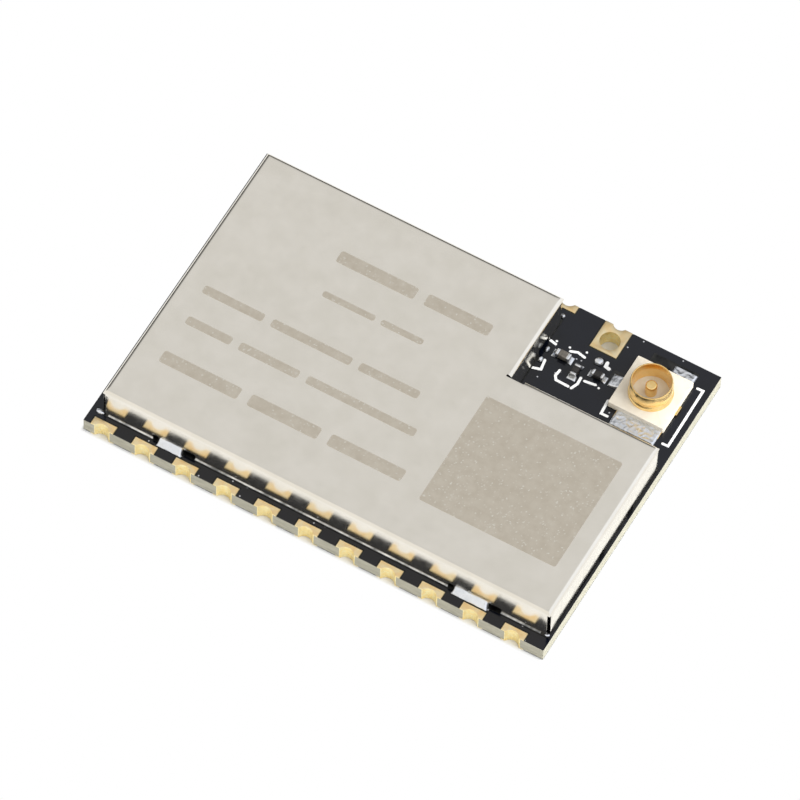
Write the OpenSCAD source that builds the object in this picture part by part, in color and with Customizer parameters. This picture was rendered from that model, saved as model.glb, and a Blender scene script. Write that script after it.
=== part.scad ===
// Surface-mount radio module: a circuit board with castellated edge pads, a folded
// shield can with a notched corner, and a micro coaxial antenna socket in the notch.
// Millimetres, Z up, origin at the middle of the underside.

/* [Board] */
// Number of edge pads along the front edge
front_pad_count = 11; // [6:1:14]
// Distance from one edge pad to the next
pad_pitch = 2; // [1.8:0.1:2.6]
// First edge pad's centre to the left edge
pad_inset_left = 0.9; // [0.8:0.1:2]
// Last front pad's centre to the right edge
pad_inset_right = 1.5; // [0.8:0.1:3]
// Board width from front edge to back edge
board_w = 15.6; // [14.4:0.1:20]
// Board thickness over the copper of both faces
board_t = 0.8; // [0.6:0.1:1.6]
// Thickness of the copper lands on each face
copper_t = 0.05; // [0.04:0.01:0.1]
// Thickness of the solder mask on each face
mask_t = 0.03; // [0.02:0.01:0.04]
// Bare margin between an edge land and the solder mask
mask_gap = 0.05; // [0.03:0.01:0.07]

/* [Edge pads] */
// Width of an edge pad along the board edge
land_w = 1.1; // [0.95:0.01:1.3]
// Depth of an edge pad on the top face
land_d = 0.38; // [0.34:0.01:0.42]
// Depth of an edge pad on the underside
under_land_d = 0.9; // [0.6:0.05:1.2]
// Drill radius of the cut holes in the board edge
edge_drill_r = 0.42; // [0.36:0.01:0.46]
// How far the drill centres lie outside the board edge
edge_drill_out = 0.18; // [0.14:0.01:0.24]
// Thickness of the plating in the holes
plating_t = 0.04; // [0.03:0.01:0.06]

/* [Antenna land] */
// Width of the antenna land along the back edge
antenna_land_w = 1.3; // [1.2:0.05:1.5]
// Depth of the antenna land from the back edge
antenna_land_d = 1.47; // [1.4:0.01:1.6]
// Finished radius of the through hole in the antenna land
antenna_hole_r = 0.45; // [0.3:0.01:0.5]
// Through hole's centre to the back edge
antenna_hole_inset = 0.83; // [0.8:0.01:0.9]
// Drill radius of the cut hole at the antenna land's edge
antenna_edge_r = 0.38; // [0.34:0.01:0.42]
// Antenna land's centre from the connector's centre, towards the notch wall
antenna_from_connector = 2.83; // [2.6:0.01:3]

/* [Shield can] */
// Height of the can above its lands
shield_h = 1.75; // [1.5:0.05:2.6]
// Thickness of the sheet
sheet_t = 0.15; // [0.1:0.01:0.18]
// Outer radius of the bend between top and walls
bend_r = 0.22; // [0.2:0.01:0.3]
// Outward lean of the walls from upright, in degrees
wall_lean = 1; // [0.5:0.5:3]
// Outward lean of the left wall, which has sprung open, in degrees
left_wall_lean = 4; // [1:0.5:6]
// Wall foot to the left edge of the board
margin_left = 0.42; // [0.2:0.01:0.8]
// Wall foot to the right edge of the board
margin_right = 0.12; // [0.1:0.01:0.5]
// Wall foot to the front edge of the board
margin_front = 0.68; // [0.6:0.01:1]
// Wall foot to the back edge of the board
margin_back = 0.85; // [0.6:0.01:1.1]
// Width of a corner slit
slit_w = 0.12; // [0.08:0.01:0.2]
// Foot width of the two corner slits that have sprung open
open_slit_w = 0.4; // [0.2:0.01:0.45]
// Solid depth of sheet above each corner slit
slit_cap = 0.19; // [0.16:0.01:0.2]
// Length of wall left out of the notch's front wall at the inner corner
inner_relief = 0.6; // [0.4:0.01:0.8]
// Gap between the notch wall's end and the bend line of the notch's front wall
inner_gap = 0.1; // [0.05:0.01:0.2]

/* [Shield feet] */
// Width of the first solder foot of a long wall, going clockwise
first_foot_w = 1.7; // [0.8:0.1:2]
// Width of the last solder foot of a long wall, going clockwise
last_foot_w = 1.2; // [0.8:0.1:1.6]
// Width of the solder foot of a side wall
side_foot_w = 2; // [1.2:0.1:2.4]
// First solder foot's centre to the start of its wall, going clockwise
foot_from_start = 3.75; // [3.2:0.01:4.2]
// Last solder foot's centre to the end of its wall, going clockwise
foot_from_end = 3.48; // [3:0.01:4]
// Width of the relief cut before a long wall's foot
relief_before_w = 0.58; // [0.3:0.01:0.7]
// Width of the relief cut after a long wall's foot
relief_after_w = 0.28; // [0.2:0.01:0.6]
// Width of the relief cuts beside a side wall's foot
side_relief_w = 0.48; // [0.3:0.01:0.6]
// Height of the relief cuts beside a solder foot
relief_h = 0.3; // [0.15:0.05:0.5]
// How far the ground ring reaches outside the long walls
ring_out = 0.08; // [0.06:0.01:0.09]
// How far the ground ring reaches outside the side walls and the notch walls
side_ring_out = 0.02; // [0.01:0.01:0.03]
// How far the ground ring reaches inside the wall feet
ring_in = 0.15; // [0.1:0.01:0.3]
// Reach of the solder fillet at a long wall's foot
foot_solder_w = 0.12; // [0.1:0.01:0.13]
// Height of the solder fillet at a long wall's foot
foot_solder_h = 0.4; // [0.2:0.05:0.6]
// Height of the thin solder bead along the long walls
bead_h = 0.1; // [0.06:0.01:0.15]
// Bead's end to the corner of its wall
bead_inset = 0.4; // [0.3:0.05:0.6]
// Width of the passage under the notch wall for the antenna line
passage_w = 0.9; // [0.8:0.05:1.2]
// Height of the passage under the notch wall
passage_h = 0.4; // [0.2:0.05:0.5]

/* [Antenna socket] */
// Socket centre to the right edge of the board
socket_inset_right = 2.15; // [2:0.05:2.6]
// Socket centre to the back edge of the board
socket_inset_back = 2.38; // [2.2:0.02:2.8]
// Side of the square insulator
insulator_side = 2.7; // [2.5:0.05:2.8]
// Height of the insulator
insulator_h = 0.35; // [0.3:0.01:0.42]
// Thickness of the insulator's base under the ring
insulator_base = 0.15; // [0.12:0.01:0.18]
// Outer radius of the contact ring
ring_r = 1; // [0.9:0.01:1.05]
// Wall thickness of the contact ring
ring_wall = 0.2; // [0.15:0.01:0.25]
// Height of the contact ring above the board
ring_h = 1.25; // [1.2:0.05:1.5]
// Depth of the snap groove round the ring
groove_depth = 0.07; // [0.04:0.01:0.09]
// Radius of the centre pin
pin_r = 0.25; // [0.2:0.01:0.3]
// Height of the centre pin above the board
pin_h = 0.95; // [0.8:0.01:1.05]
// Thickness of the socket's metal strips
strip_t = 0.12; // [0.08:0.01:0.12]
// Width of each ground leg
ground_leg_w = 2.2; // [1.8:0.05:2.3]
// Ground legs' centre from the socket's centre
ground_leg_shift = 0.2; // [0:0.05:0.2]
// Width of the signal tail
tail_w = 0.4; // [0.3:0.05:0.5]
// Reach of a leg or tail beyond the insulator
leg_reach = 0.4; // [0.35:0.05:0.5]
// Reach of a land beyond its leg or tail
socket_land_reach = 0.25; // [0.2:0.05:0.3]
// Thickness of the signal tail
tail_t = 0.1; // [0.06:0.01:0.11]
// Reach of the ring's flange beyond the ring
flange_out = 0.06; // [0.03:0.01:0.1]
// Height of the ring's flange above the insulator
flange_h = 0.12; // [0.08:0.01:0.15]
// Taper of the ring's flange
flange_taper = 0.03; // [0.02:0.01:0.04]
// Height of the snap groove
groove_h = 0.28; // [0.22:0.01:0.32]
// Chamfer at the ring's rim
ring_chamfer = 0.07; // [0.03:0.01:0.09]

/* [Matching parts in the notch] */
// Length of the series inductor
inductor_l = 0.7; // [0.65:0.05:0.8]
// Width of the series inductor
inductor_w = 0.35; // [0.3:0.05:0.4]
// Height of the series inductor
inductor_h = 0.3; // [0.25:0.05:0.4]
// Length of a metal end of the series inductor
inductor_end_l = 0.18; // [0.14:0.01:0.22]
// Length of a small matching capacitor
small_cap_l = 0.6; // [0.5:0.05:0.7]
// Width of a small matching capacitor
small_cap_w = 0.3; // [0.25:0.05:0.35]
// Height of a small matching capacitor
small_cap_h = 0.3; // [0.2:0.05:0.35]
// Length of a metal end of a small matching capacitor
small_cap_end_l = 0.15; // [0.1:0.01:0.2]
// Width of a spare land at the notch wall
spare_land_w = 0.2; // [0.16:0.01:0.24]
// Length of a spare land at the notch wall
spare_land_l = 0.3; // [0.24:0.01:0.34]
// Radius of the solder dome on a spare land at the notch wall
dome_r = 0.1; // [0.07:0.01:0.11]
// Height of the solder dome on a spare land at the notch wall
dome_h = 0.06; // [0.03:0.01:0.06]
// Side of the rear spare land
rear_land_side = 0.42; // [0.4:0.01:0.44]
// Radius of the solder dome on the rear spare land
rear_dome_r = 0.19; // [0.16:0.01:0.2]
// Height of the solder dome on the rear spare land
rear_dome_h = 0.14; // [0.1:0.01:0.15]
// Wall foot to the nearest land in the notch
notch_clearance = 0.05; // [0.04:0.01:0.4]
// Front land of the socket to the wall foot
socket_clearance = 0.94; // [0.4:0.01:1.1]
// Reach of a chip part's land beyond its end
chip_land_reach = 0.13; // [0.1:0.01:0.15]
// Reach of the solder fillets at the chip parts' ends
chip_solder_w = 0.1; // [0.08:0.01:0.1]
// Height of the solder fillets at the chip parts' ends
chip_solder_h = 0.2; // [0.1:0.01:0.25]
// Gap between the series capacitor's end and the socket's signal land
series_cap_gap = 0.11; // [0.09:0.01:0.12]
// Series capacitor's centre line in front of the socket's centre
series_cap_forward = 0.28; // [0.24:0.01:0.32]
// Rear spare land's centre behind the socket's centre
rear_spare_back = 0.41; // [0.38:0.01:0.44]
// Front shunt capacitor's centre in front of the socket's centre
front_cap_forward = 0.58; // [0.5:0.01:0.7]
// Front shunt capacitor's centre to the rear spare land's, towards the notch wall
shunt_spacing = 0.64; // [0.6:0.01:0.8]
// Series inductor's centre to the front shunt capacitor's, towards the notch wall
inductor_spacing = 0.82; // [0.81:0.01:0.9]
// Series inductor's centre line in front of the socket's centre
inductor_forward = 0.17; // [0.1:0.01:0.2]
// Gap between the series inductor's land and the spare lands at the notch wall
spare_gap = 0.19; // [0.15:0.01:0.25]
// Distance between the two spare lands at the notch wall
spare_pitch = 0.58; // [0.55:0.01:0.6]

/* [Radio chip] */
// Side of the square chip package
chip_side = 6; // [5:0.1:6.4]
// Height of the chip package
chip_h = 0.85; // [0.6:0.05:1]
// Leads along each side of the chip
chip_leads_per_side = 7; // [4:1:8]
// Distance from one chip lead to the next
chip_lead_pitch = 0.65; // [0.6:0.01:0.7]
// Width of a chip lead
chip_lead_w = 0.3; // [0.2:0.01:0.34]
// Length of a chip lead under the package
chip_lead_l = 0.45; // [0.3:0.01:0.5]
// Height of a chip lead
chip_lead_h = 0.2; // [0.1:0.01:0.25]
// Side of the heat pad under the chip
heat_pad_side = 4.2; // [3:0.1:4.3]
// Reach of a lead's land beyond the package
chip_land_out = 0.3; // [0.2:0.05:0.4]
// Chip's centre to the middle of the can's deep end, towards the left
chip_left = 1.2; // [0.8:0.1:1.4]
// Chip's centre to the middle of the can's deep end, towards the back
chip_back = 0.6; // [0.4:0.1:0.8]

/* [Crystal] */
// Length of the crystal package
crystal_l = 3.2; // [2.5:0.1:3.4]
// Width of the crystal package
crystal_w = 2.5; // [2:0.1:2.6]
// Height of the crystal's ceramic base
crystal_base_h = 0.45; // [0.3:0.01:0.6]
// Height of the crystal's metal lid
crystal_lid_h = 0.25; // [0.15:0.01:0.3]
// Lid edge to base edge
crystal_lid_inset = 0.2; // [0.1:0.01:0.3]
// Length of a corner land of the crystal
crystal_land_l = 1.1; // [0.8:0.05:1.2]
// Width of a corner land of the crystal
crystal_land_w = 0.9; // [0.6:0.05:1]

/* [Antenna switch] */
// Length of the switch body
switch_l = 2; // [1.8:0.1:2.2]
// Width of the switch body
switch_w = 1.25; // [1.1:0.05:1.35]
// Height of the switch above the board
switch_h = 0.95; // [0.8:0.05:1.1]
// Gap under the switch body
switch_standoff = 0.1; // [0.05:0.01:0.15]
// Distance from one switch lead to the next
switch_lead_pitch = 0.65; // [0.6:0.01:0.7]
// Width of a switch lead
switch_lead_w = 0.25; // [0.2:0.01:0.3]
// Thickness of a switch lead
switch_lead_t = 0.12; // [0.1:0.01:0.15]
// Reach of a switch lead beyond the body
switch_lead_reach = 0.42; // [0.4:0.01:0.5]
// Length of a switch lead's land
switch_land_l = 0.5; // [0.4:0.01:0.55]
// Extra width of a switch lead's land over the lead
switch_land_extra = 0.05; // [0:0.01:0.1]
// Switch body to the bend line of the notch wall
switch_wall_gap = 0.6; // [0.4:0.05:1]

/* [Chip parts under the can] */
// Length of a chip part
chip_part_l = 1; // [0.8:0.05:1.1]
// Width of a chip part
chip_part_w = 0.5; // [0.4:0.05:0.6]
// Length of a metal end of a chip part
chip_part_end_l = 0.25; // [0.15:0.01:0.3]
// Height of a ceramic capacitor
cap_h = 0.5; // [0.3:0.05:0.8]
// Height of a chip inductor
coil_h = 0.55; // [0.3:0.05:0.8]
// Height of a resistor
resistor_h = 0.35; // [0.25:0.05:0.5]
// Distance from one chip part to the next in a row
chip_part_pitch = 1.5; // [1.3:0.1:1.6]
// Gap between the radio chip's lands and the rows of parts round it
chip_part_gap = 0.45; // [0.3:0.05:0.6]

/* [Hidden] */
$fn = 48;

// Cutters reach this far past the faces they cut
past = 0.5;

// Board
board_l = pad_inset_left + (front_pad_count - 1) * pad_pitch + pad_inset_right;
left_x = -board_l / 2;
right_x = board_l / 2;
front_y = -board_w / 2;
back_y = board_w / 2;
core_bottom = copper_t;
core_top = board_t - copper_t;
first_pad_x = left_x + pad_inset_left;
front_pad_xs = [for (i = [0 : front_pad_count - 1]) first_pad_x + i * pad_pitch];

// Socket
socket_x = right_x - socket_inset_right;
socket_y = back_y - socket_inset_back;
insulator_half = insulator_side / 2;
leg_end = insulator_half + leg_reach;
socket_land_end = leg_end + socket_land_reach;
ground_land_start = insulator_half - leg_reach;

// Antenna land
antenna_x = socket_x - antenna_from_connector;
antenna_y = back_y - antenna_hole_inset;

// Chip parts: length, width, height and length of a metal end
inductor_size = [inductor_l, inductor_w, inductor_h, inductor_end_l];
small_cap_size = [small_cap_l, small_cap_w, small_cap_h, small_cap_end_l];
cap_size = [chip_part_l, chip_part_w, cap_h, chip_part_end_l];
coil_size = [chip_part_l, chip_part_w, coil_h, chip_part_end_l];
resistor_size = [chip_part_l, chip_part_w, resistor_h, chip_part_end_l];
function chip_end_l(size) = size[3];
function chip_half_reach(size) = size.x / 2 + chip_land_reach;

// Chip parts in the notch, from the socket's signal land towards the notch wall
signal_land_x = socket_x - socket_land_end;
series_cap_at = [signal_land_x - series_cap_gap - small_cap_l / 2, socket_y - series_cap_forward];
rear_spare_at = [series_cap_at.x - small_cap_l / 2, socket_y + rear_spare_back];
front_cap_at = [rear_spare_at.x - shunt_spacing, socket_y - front_cap_forward];
inductor_at = [front_cap_at.x - inductor_spacing, socket_y - inductor_forward];
wall_spare_x = inductor_at.x - chip_half_reach(inductor_size) - spare_gap - spare_land_w / 2;
wall_spares_at = [[wall_spare_x, inductor_at.y], [wall_spare_x, inductor_at.y - spare_pitch]];

// Shield can: corners of the wall feet, clockwise from the notch's right corner
notch_x = wall_spare_x - spare_land_w / 2 - notch_clearance;
notch_y = socket_y - socket_land_end - socket_clearance;
foot_right = right_x - margin_right;
foot_left = left_x + margin_left;
foot_front = front_y + margin_front;
foot_back = back_y - margin_back;
foot_corners = [
    [foot_right, notch_y], [foot_right, foot_front], [foot_left, foot_front],
    [foot_left, foot_back], [notch_x, foot_back], [notch_x, notch_y]
];
corner_count = len(foot_corners);
reentrant = corner_count - 1;
sprung_corners = [2, 4];
sprung_wall = 2;
long_walls = [1, 3];
side_walls = [0, 2];
foot_z = board_t;
top_z = foot_z + shield_h;
bend_z = top_z - bend_r;
bend_in_r = bend_r - sheet_t;
wall_drop = shield_h - bend_r;
// Each wall starts at the corner of its own number. Its reach is the plan distance
// from the bend line to the outer edge of the foot.
function lean_of(i) = i == sprung_wall ? left_wall_lean : wall_lean;
function reach_at(r, lean) = r * cos(lean) + (r * sin(lean) + wall_drop) * tan(lean);
function reach_of(i) = reach_at(bend_r, lean_of(i));

// Back edge pads lie at the front pads' places, as far as the shield's back wall goes
back_pad_xs = [for (x = front_pad_xs) if (x < notch_x) x];

// Layout under the can, round the radio chip in the middle of the can's deep end
chip_at = [(foot_left + notch_x) / 2 - chip_left, (foot_front + foot_back) / 2 + chip_back];
chip_half = chip_side / 2;
row_start = chip_half + chip_land_out + chip_part_gap;
crystal_at = chip_at - [0, row_start + crystal_w / 2];
switch_at = [
    notch_x - reach_of(before(reentrant)) - switch_wall_gap - switch_l / 2, inductor_at.y - switch_w / 2
];

// Each chip part is its place and its turn about Z
cap_row = row_start + chip_half_reach(cap_size);
coil_row = row_start + chip_half_reach(coil_size);
resistor_row = row_start + chip_half_reach(resistor_size);
cap_places = [for (i = [-1 : 1]) [chip_at + [i * chip_part_pitch, cap_row], 90]];
coil_places = [for (i = [-1 : 1]) [chip_at + [coil_row, i * chip_part_pitch], 0]];
resistor_places = [for (i = [-1 : 1]) [chip_at + [-resistor_row, i * chip_part_pitch], 0]];
inductor_places = [[inductor_at, 0]];
small_cap_places = [[series_cap_at, 0], [front_cap_at, 90]];

// Finishes
fibreglass = [0.66, 0.66, 0.54];
black_mask = [0.1, 0.11, 0.14];
gold = [0.9, 0.74, 0.42];
tinned = [0.78, 0.8, 0.83];
nickel_silver = [0.8, 0.79, 0.75];
moulding = [0.12, 0.12, 0.13];
ceramic_tan = [0.62, 0.5, 0.36];
ferrite_grey = [0.4, 0.4, 0.41];
ivory = [0.96, 0.93, 0.84];

// Plan views shared by the lands and by the windows in the solder mask

module centred_plan(at, size, grow = 0) {
    translate(at) square([size.x + 2 * grow, size.y + 2 * grow], center = true);
}

module chip_part_land_plan(places, size) {
    land_l = chip_end_l(size) + 2 * chip_land_reach;
    land_at = (size.x - chip_end_l(size)) / 2;
    for (p = places, s = [-1, 1])
        translate(p[0]) rotate(p[1]) centred_plan([s * land_at, 0], [land_l, size.y]);
}

module radio_chip_land_plan() {
    lead_l = chip_lead_l + chip_land_out;
    lead_at = chip_half + chip_land_out - lead_l / 2;
    centred_plan(chip_at, [heat_pad_side, heat_pad_side]);
    for (side = [0 : 3], i = [0 : chip_leads_per_side - 1])
        translate(chip_at) rotate(90 * side)
            centred_plan([lead_at, (i - (chip_leads_per_side - 1) / 2) * chip_lead_pitch],
                         [lead_l, chip_lead_w]);
}

module crystal_land_plan() {
    land_at = [crystal_l - crystal_land_l, crystal_w - crystal_land_w] / 2;
    for (sx = [-1, 1], sy = [-1, 1])
        centred_plan(crystal_at + [sx * land_at.x, sy * land_at.y], [crystal_land_l, crystal_land_w]);
}

module switch_land_plan() {
    land_at = switch_w / 2 + switch_lead_reach - switch_land_l / 4;
    for (s = [-1, 1], i = [-1 : 1])
        centred_plan(switch_at + [i * switch_lead_pitch, s * land_at],
                     [switch_lead_w + switch_land_extra, switch_land_l]);
}

module socket_land_plan() {
    ground_l = socket_land_end - ground_land_start;
    for (s = [-1, 1])
        centred_plan([socket_x + ground_leg_shift, socket_y + s * (ground_land_start + ground_l / 2)],
                     [ground_leg_w, ground_l]);
    centred_plan([socket_x - ground_land_start - ground_l / 2, socket_y], [ground_l, 2 * tail_w]);
}

module spare_land_plan() {
    centred_plan(rear_spare_at, [rear_land_side, rear_land_side]);
    for (at = wall_spares_at) centred_plan(at, [spare_land_w, spare_land_l]);
}

module component_land_plan() {
    radio_chip_land_plan();
    crystal_land_plan();
    switch_land_plan();
    chip_part_land_plan(cap_places, cap_size);
    chip_part_land_plan(coil_places, coil_size);
    chip_part_land_plan(resistor_places, resistor_size);
    chip_part_land_plan(inductor_places, inductor_size);
    chip_part_land_plan(small_cap_places, small_cap_size);
    spare_land_plan();
    socket_land_plan();
}

// Run, direction and outward direction of the wall that starts at a corner
function next_of(i) = (i + 1) % corner_count;
function before(i) = (i + corner_count - 1) % corner_count;
function unit(v) = v / norm(v);
function wall_len(i) = norm(foot_corners[next_of(i)] - foot_corners[i]);
function wall_dir(i) = unit(foot_corners[next_of(i)] - foot_corners[i]);
function wall_out(i) = [-wall_dir(i).y, wall_dir(i).x];
function out_angle(i) = atan2(wall_out(i).y, wall_out(i).x);
function is_in(i, list) = len(search(i, list)) > 0;
function wall_point(i, along, out) = foot_corners[i] + wall_dir(i) * along + wall_out(i) * out;

// Solder feet of a wall: centre along the wall, width, and the reliefs before and after
function wall_feet(i) =
    is_in(i, side_walls) ? [[foot_from_start, side_foot_w, side_relief_w, side_relief_w]]
    : is_in(i, long_walls) ? [
        [foot_from_start, first_foot_w, relief_before_w, relief_after_w],
        [wall_len(i) - foot_from_end, last_foot_w, relief_before_w, relief_after_w]
    ] : [];
function foot_start(foot) = foot[0] - foot[1] / 2;
function foot_end(foot) = foot[0] + foot[1] / 2;

// Wall frame: X along the foot from its first corner, Y outwards
module on_wall(i) {
    translate(foot_corners[i]) rotate(out_angle(i) - 90) children();
}

// Outlines round the wall feet, with a step at each long wall's solder feet
function ring_reach(i) = is_in(i, long_walls) ? ring_out : side_ring_out;
function foot_step(i, foot) = [
    wall_point(i, foot_start(foot), ring_out),
    wall_point(i, foot_start(foot), foot_solder_w),
    wall_point(i, foot_end(foot), foot_solder_w),
    wall_point(i, foot_end(foot), ring_out)
];
function ring_outside(i) = concat(
    [wall_point(i, 0, ring_reach(i)) + wall_out(before(i)) * ring_reach(before(i))],
    is_in(i, long_walls) ? [for (foot = wall_feet(i)) each foot_step(i, foot)] : []
);
function ring_inside(i, d) = wall_point(i, 0, -d) - wall_out(before(i)) * d;

module ground_ring_plan() {
    difference() {
        polygon([for (i = [0 : reentrant]) each ring_outside(i)]);
        polygon([for (i = [0 : reentrant]) ring_inside(i, sheet_t + ring_in)]);
        centred_plan([notch_x, inductor_at.y], [2 * past, passage_w]);
    }
}

module edge_drills(h) {
    for (x = front_pad_xs)
        translate([x, front_y - edge_drill_out]) cylinder(r = edge_drill_r, h = h);
    for (x = back_pad_xs)
        translate([x, back_y + edge_drill_out]) cylinder(r = edge_drill_r, h = h);
    translate([antenna_x, back_y + edge_drill_out]) cylinder(r = antenna_edge_r, h = h);
}

module antenna_drill(h) {
    translate([antenna_x, antenna_y]) cylinder(r = antenna_hole_r + plating_t, h = h);
}

// Board

module board_core() {
    color(fibreglass)
    difference() {
        translate([left_x, front_y, core_bottom]) cube([board_l, board_w, core_top - core_bottom]);
        edge_drills(board_t);
        antenna_drill(board_t);
    }
}

module edge_land_windows(depth) {
    for (x = front_pad_xs)
        centred_plan([x, front_y], [land_w, 2 * depth], mask_gap);
    for (x = back_pad_xs)
        centred_plan([x, back_y], [land_w, 2 * depth], mask_gap);
    centred_plan([antenna_x, back_y], [antenna_land_w, 2 * antenna_land_d], mask_gap);
}

module top_solder_mask() {
    color(black_mask)
    translate([0, 0, core_top]) linear_extrude(mask_t)
        difference() {
            translate([left_x, front_y]) square([board_l, board_w]);
            edge_land_windows(land_d);
            ground_ring_plan();
            component_land_plan();
        }
}

module bottom_solder_mask() {
    color(black_mask)
    translate([0, 0, core_bottom - mask_t]) linear_extrude(mask_t)
        difference() {
            translate([left_x, front_y]) square([board_l, board_w]);
            edge_land_windows(under_land_d);
        }
}

// One edge pad: lands on both faces, joined by the plated wall of the cut hole.
// The board edge lies along X and the board is on the +Y side.
module edge_pad(top_w, top_d, bottom_d, drill_r) {
    difference() {
        union() {
            translate([-top_w / 2, 0, core_top]) cube([top_w, top_d, copper_t]);
            translate([-top_w / 2, 0, 0]) cube([top_w, bottom_d, copper_t]);
            intersection() {
                translate([0, -edge_drill_out, core_bottom])
                    cylinder(r = drill_r, h = core_top - core_bottom);
                translate([-drill_r, 0, 0]) cube([2 * drill_r, drill_r, board_t]);
            }
        }
        translate([0, -edge_drill_out, -past]) cylinder(r = drill_r - plating_t, h = board_t + 2 * past);
    }
}

module front_edge_pads() {
    color(gold)
    for (x = front_pad_xs)
        translate([x, front_y]) edge_pad(land_w, land_d, under_land_d, edge_drill_r);
}

module back_edge_pads() {
    color(gold)
    for (x = back_pad_xs)
        translate([x, back_y]) rotate(180) edge_pad(land_w, land_d, under_land_d, edge_drill_r);
}

module antenna_land() {
    color(gold)
    difference() {
        union() {
            translate([antenna_x, back_y]) rotate(180)
                edge_pad(antenna_land_w, antenna_land_d, antenna_land_d, antenna_edge_r);
            translate([0, 0, core_bottom]) antenna_drill(core_top - core_bottom);
        }
        translate([antenna_x, antenna_y, -past]) cylinder(r = antenna_hole_r, h = board_t + 2 * past);
    }
}

module shield_ground_ring() {
    color(tinned) translate([0, 0, core_top]) linear_extrude(copper_t) ground_ring_plan();
}

module component_lands() {
    color(tinned) translate([0, 0, core_top]) linear_extrude(copper_t) component_land_plan();
}

// Shield can

// All that lies under a bend and behind its wall; X runs outwards from the bend line, Y upwards
module under_bend(r, lean) {
    sector = 2 * bend_r;
    intersection() {
        circle(r = r);
        polygon([[0, 0], [sector, sector * tan(lean)], [sector, sector], [0, sector]]);
    }
    polygon([[0, 0], r * [cos(lean), sin(lean)], [reach_at(r, lean), -wall_drop], [0, -wall_drop]]);
}

// Section of a wall and its bend
module wall_section(lean) {
    difference() {
        under_bend(bend_r, lean);
        under_bend(bend_in_r, lean);
    }
}

// Where a straight wall starts and ends; at the notch's inner corner it stops short
function start_trim(i) = i == reentrant ? inner_relief : reach_of(before(i));
function end_trim(i) = next_of(i) == reentrant ? inner_gap - reach_of(reentrant) : reach_of(next_of(i));

// Section run along a wall, between two places from its first corner
module along_wall(i, from, to) {
    start = foot_corners[i] + wall_dir(i) * from - wall_out(i) * reach_of(i);
    translate([start.x, start.y, bend_z]) rotate([0, 0, out_angle(i)]) rotate([90, 0, 0])
        linear_extrude(to - from) children();
}

module wall_run(i) {
    along_wall(i, start_trim(i), wall_len(i) - end_trim(i)) wall_section(lean_of(i));
}

// What two walls enclose past their bend lines, where they meet at outer corner i
module corner_fill(i, r) {
    b = before(i);
    intersection() {
        along_wall(b, wall_len(b) - end_trim(b), wall_len(b) + past) under_bend(r, lean_of(b));
        along_wall(i, -past, start_trim(i)) under_bend(r, lean_of(i));
    }
}

module wall_corner(i) {
    difference() {
        corner_fill(i, bend_r);
        corner_fill(i, bend_in_r);
    }
}

// Where a wall's bend line crosses that of the wall before it
function bend_corner(i) =
    foot_corners[i] - wall_out(before(i)) * reach_of(before(i)) - wall_out(i) * reach_of(i);

module top_plate() {
    translate([0, 0, top_z - sheet_t]) linear_extrude(sheet_t)
        polygon([for (i = [0 : reentrant]) bend_corner(i)]);
}

// Slit between two walls, cut along the corner's diagonal
module corner_slit(i) {
    slit_top = shield_h - slit_cap;
    foot_w = is_in(i, sprung_corners) ? open_slit_w : slit_w;
    reach = 4 * bend_r;
    translate([bend_corner(i).x, bend_corner(i).y, foot_z]) rotate(out_angle(i) - 45)
        translate([0, reach, 0]) rotate([90, 0, 0]) linear_extrude(reach)
            polygon([[-foot_w / 2, -past], [foot_w / 2, -past], [foot_w / 2, 0],
                     [slit_w / 2, slit_top], [-slit_w / 2, slit_top], [-foot_w / 2, 0]]);
}

module foot_reliefs(i) {
    for (foot = wall_feet(i)) {
        translate([foot_start(foot) - foot[2], -past, foot_z - past])
            cube([foot[2], 2 * past, relief_h + past]);
        translate([foot_end(foot), -past, foot_z - past])
            cube([foot[3], 2 * past, relief_h + past]);
    }
}

module shield_can() {
    color(nickel_silver)
    difference() {
        union() {
            top_plate();
            for (i = [0 : reentrant]) wall_run(i);
            for (i = [0 : before(reentrant)]) wall_corner(i);
        }
        for (i = [0 : before(reentrant)]) corner_slit(i);
        for (i = [0 : reentrant]) on_wall(i) foot_reliefs(i);
        translate([notch_x, inductor_at.y, foot_z + passage_h / 2 - past / 2])
            cube([2 * past, passage_w, passage_h + past], center = true);
    }
}

// Fillet against the outer face of a wall, in the wall's frame
module wall_fillet(x_a, x_b, reach, h, lean) {
    translate([x_a, 0, foot_z]) rotate([90, 0, 90]) linear_extrude(x_b - x_a)
        polygon([[0, 0], [reach, 0], [-h * tan(lean), h]]);
}

// Thin bead along a wall, broken at its solder feet and their reliefs
module wall_bead(i) {
    feet = wall_feet(i);
    last = len(feet);
    for (k = [0 : last]) {
        x_a = k == 0 ? bead_inset : foot_end(feet[k - 1]) + feet[k - 1][3];
        x_b = k == last ? wall_len(i) - bead_inset : foot_start(feet[k]) - feet[k][2];
        wall_fillet(x_a, x_b, ring_out, bead_h, lean_of(i));
    }
}

module shield_solder() {
    color(tinned)
    for (i = long_walls) on_wall(i) {
        wall_bead(i);
        for (foot = wall_feet(i))
            wall_fillet(foot_start(foot), foot_end(foot), foot_solder_w, foot_solder_h, lean_of(i));
    }
}

// Parts under the can

module radio_chip_leads() {
    color(tinned)
    translate([chip_at.x, chip_at.y, board_t]) {
        translate([0, 0, chip_lead_h / 2]) cube([heat_pad_side, heat_pad_side, chip_lead_h], center = true);
        for (side = [0 : 3], i = [0 : chip_leads_per_side - 1])
            rotate(90 * side)
                translate([chip_half - chip_lead_l / 2, (i - (chip_leads_per_side - 1) / 2) * chip_lead_pitch,
                           chip_lead_h / 2])
                    cube([chip_lead_l, chip_lead_w, chip_lead_h], center = true);
    }
}

module radio_chip_body() {
    color(moulding)
    difference() {
        translate([chip_at.x, chip_at.y, board_t + chip_h / 2])
            cube([chip_side, chip_side, chip_h], center = true);
        radio_chip_leads();
    }
}

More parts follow.
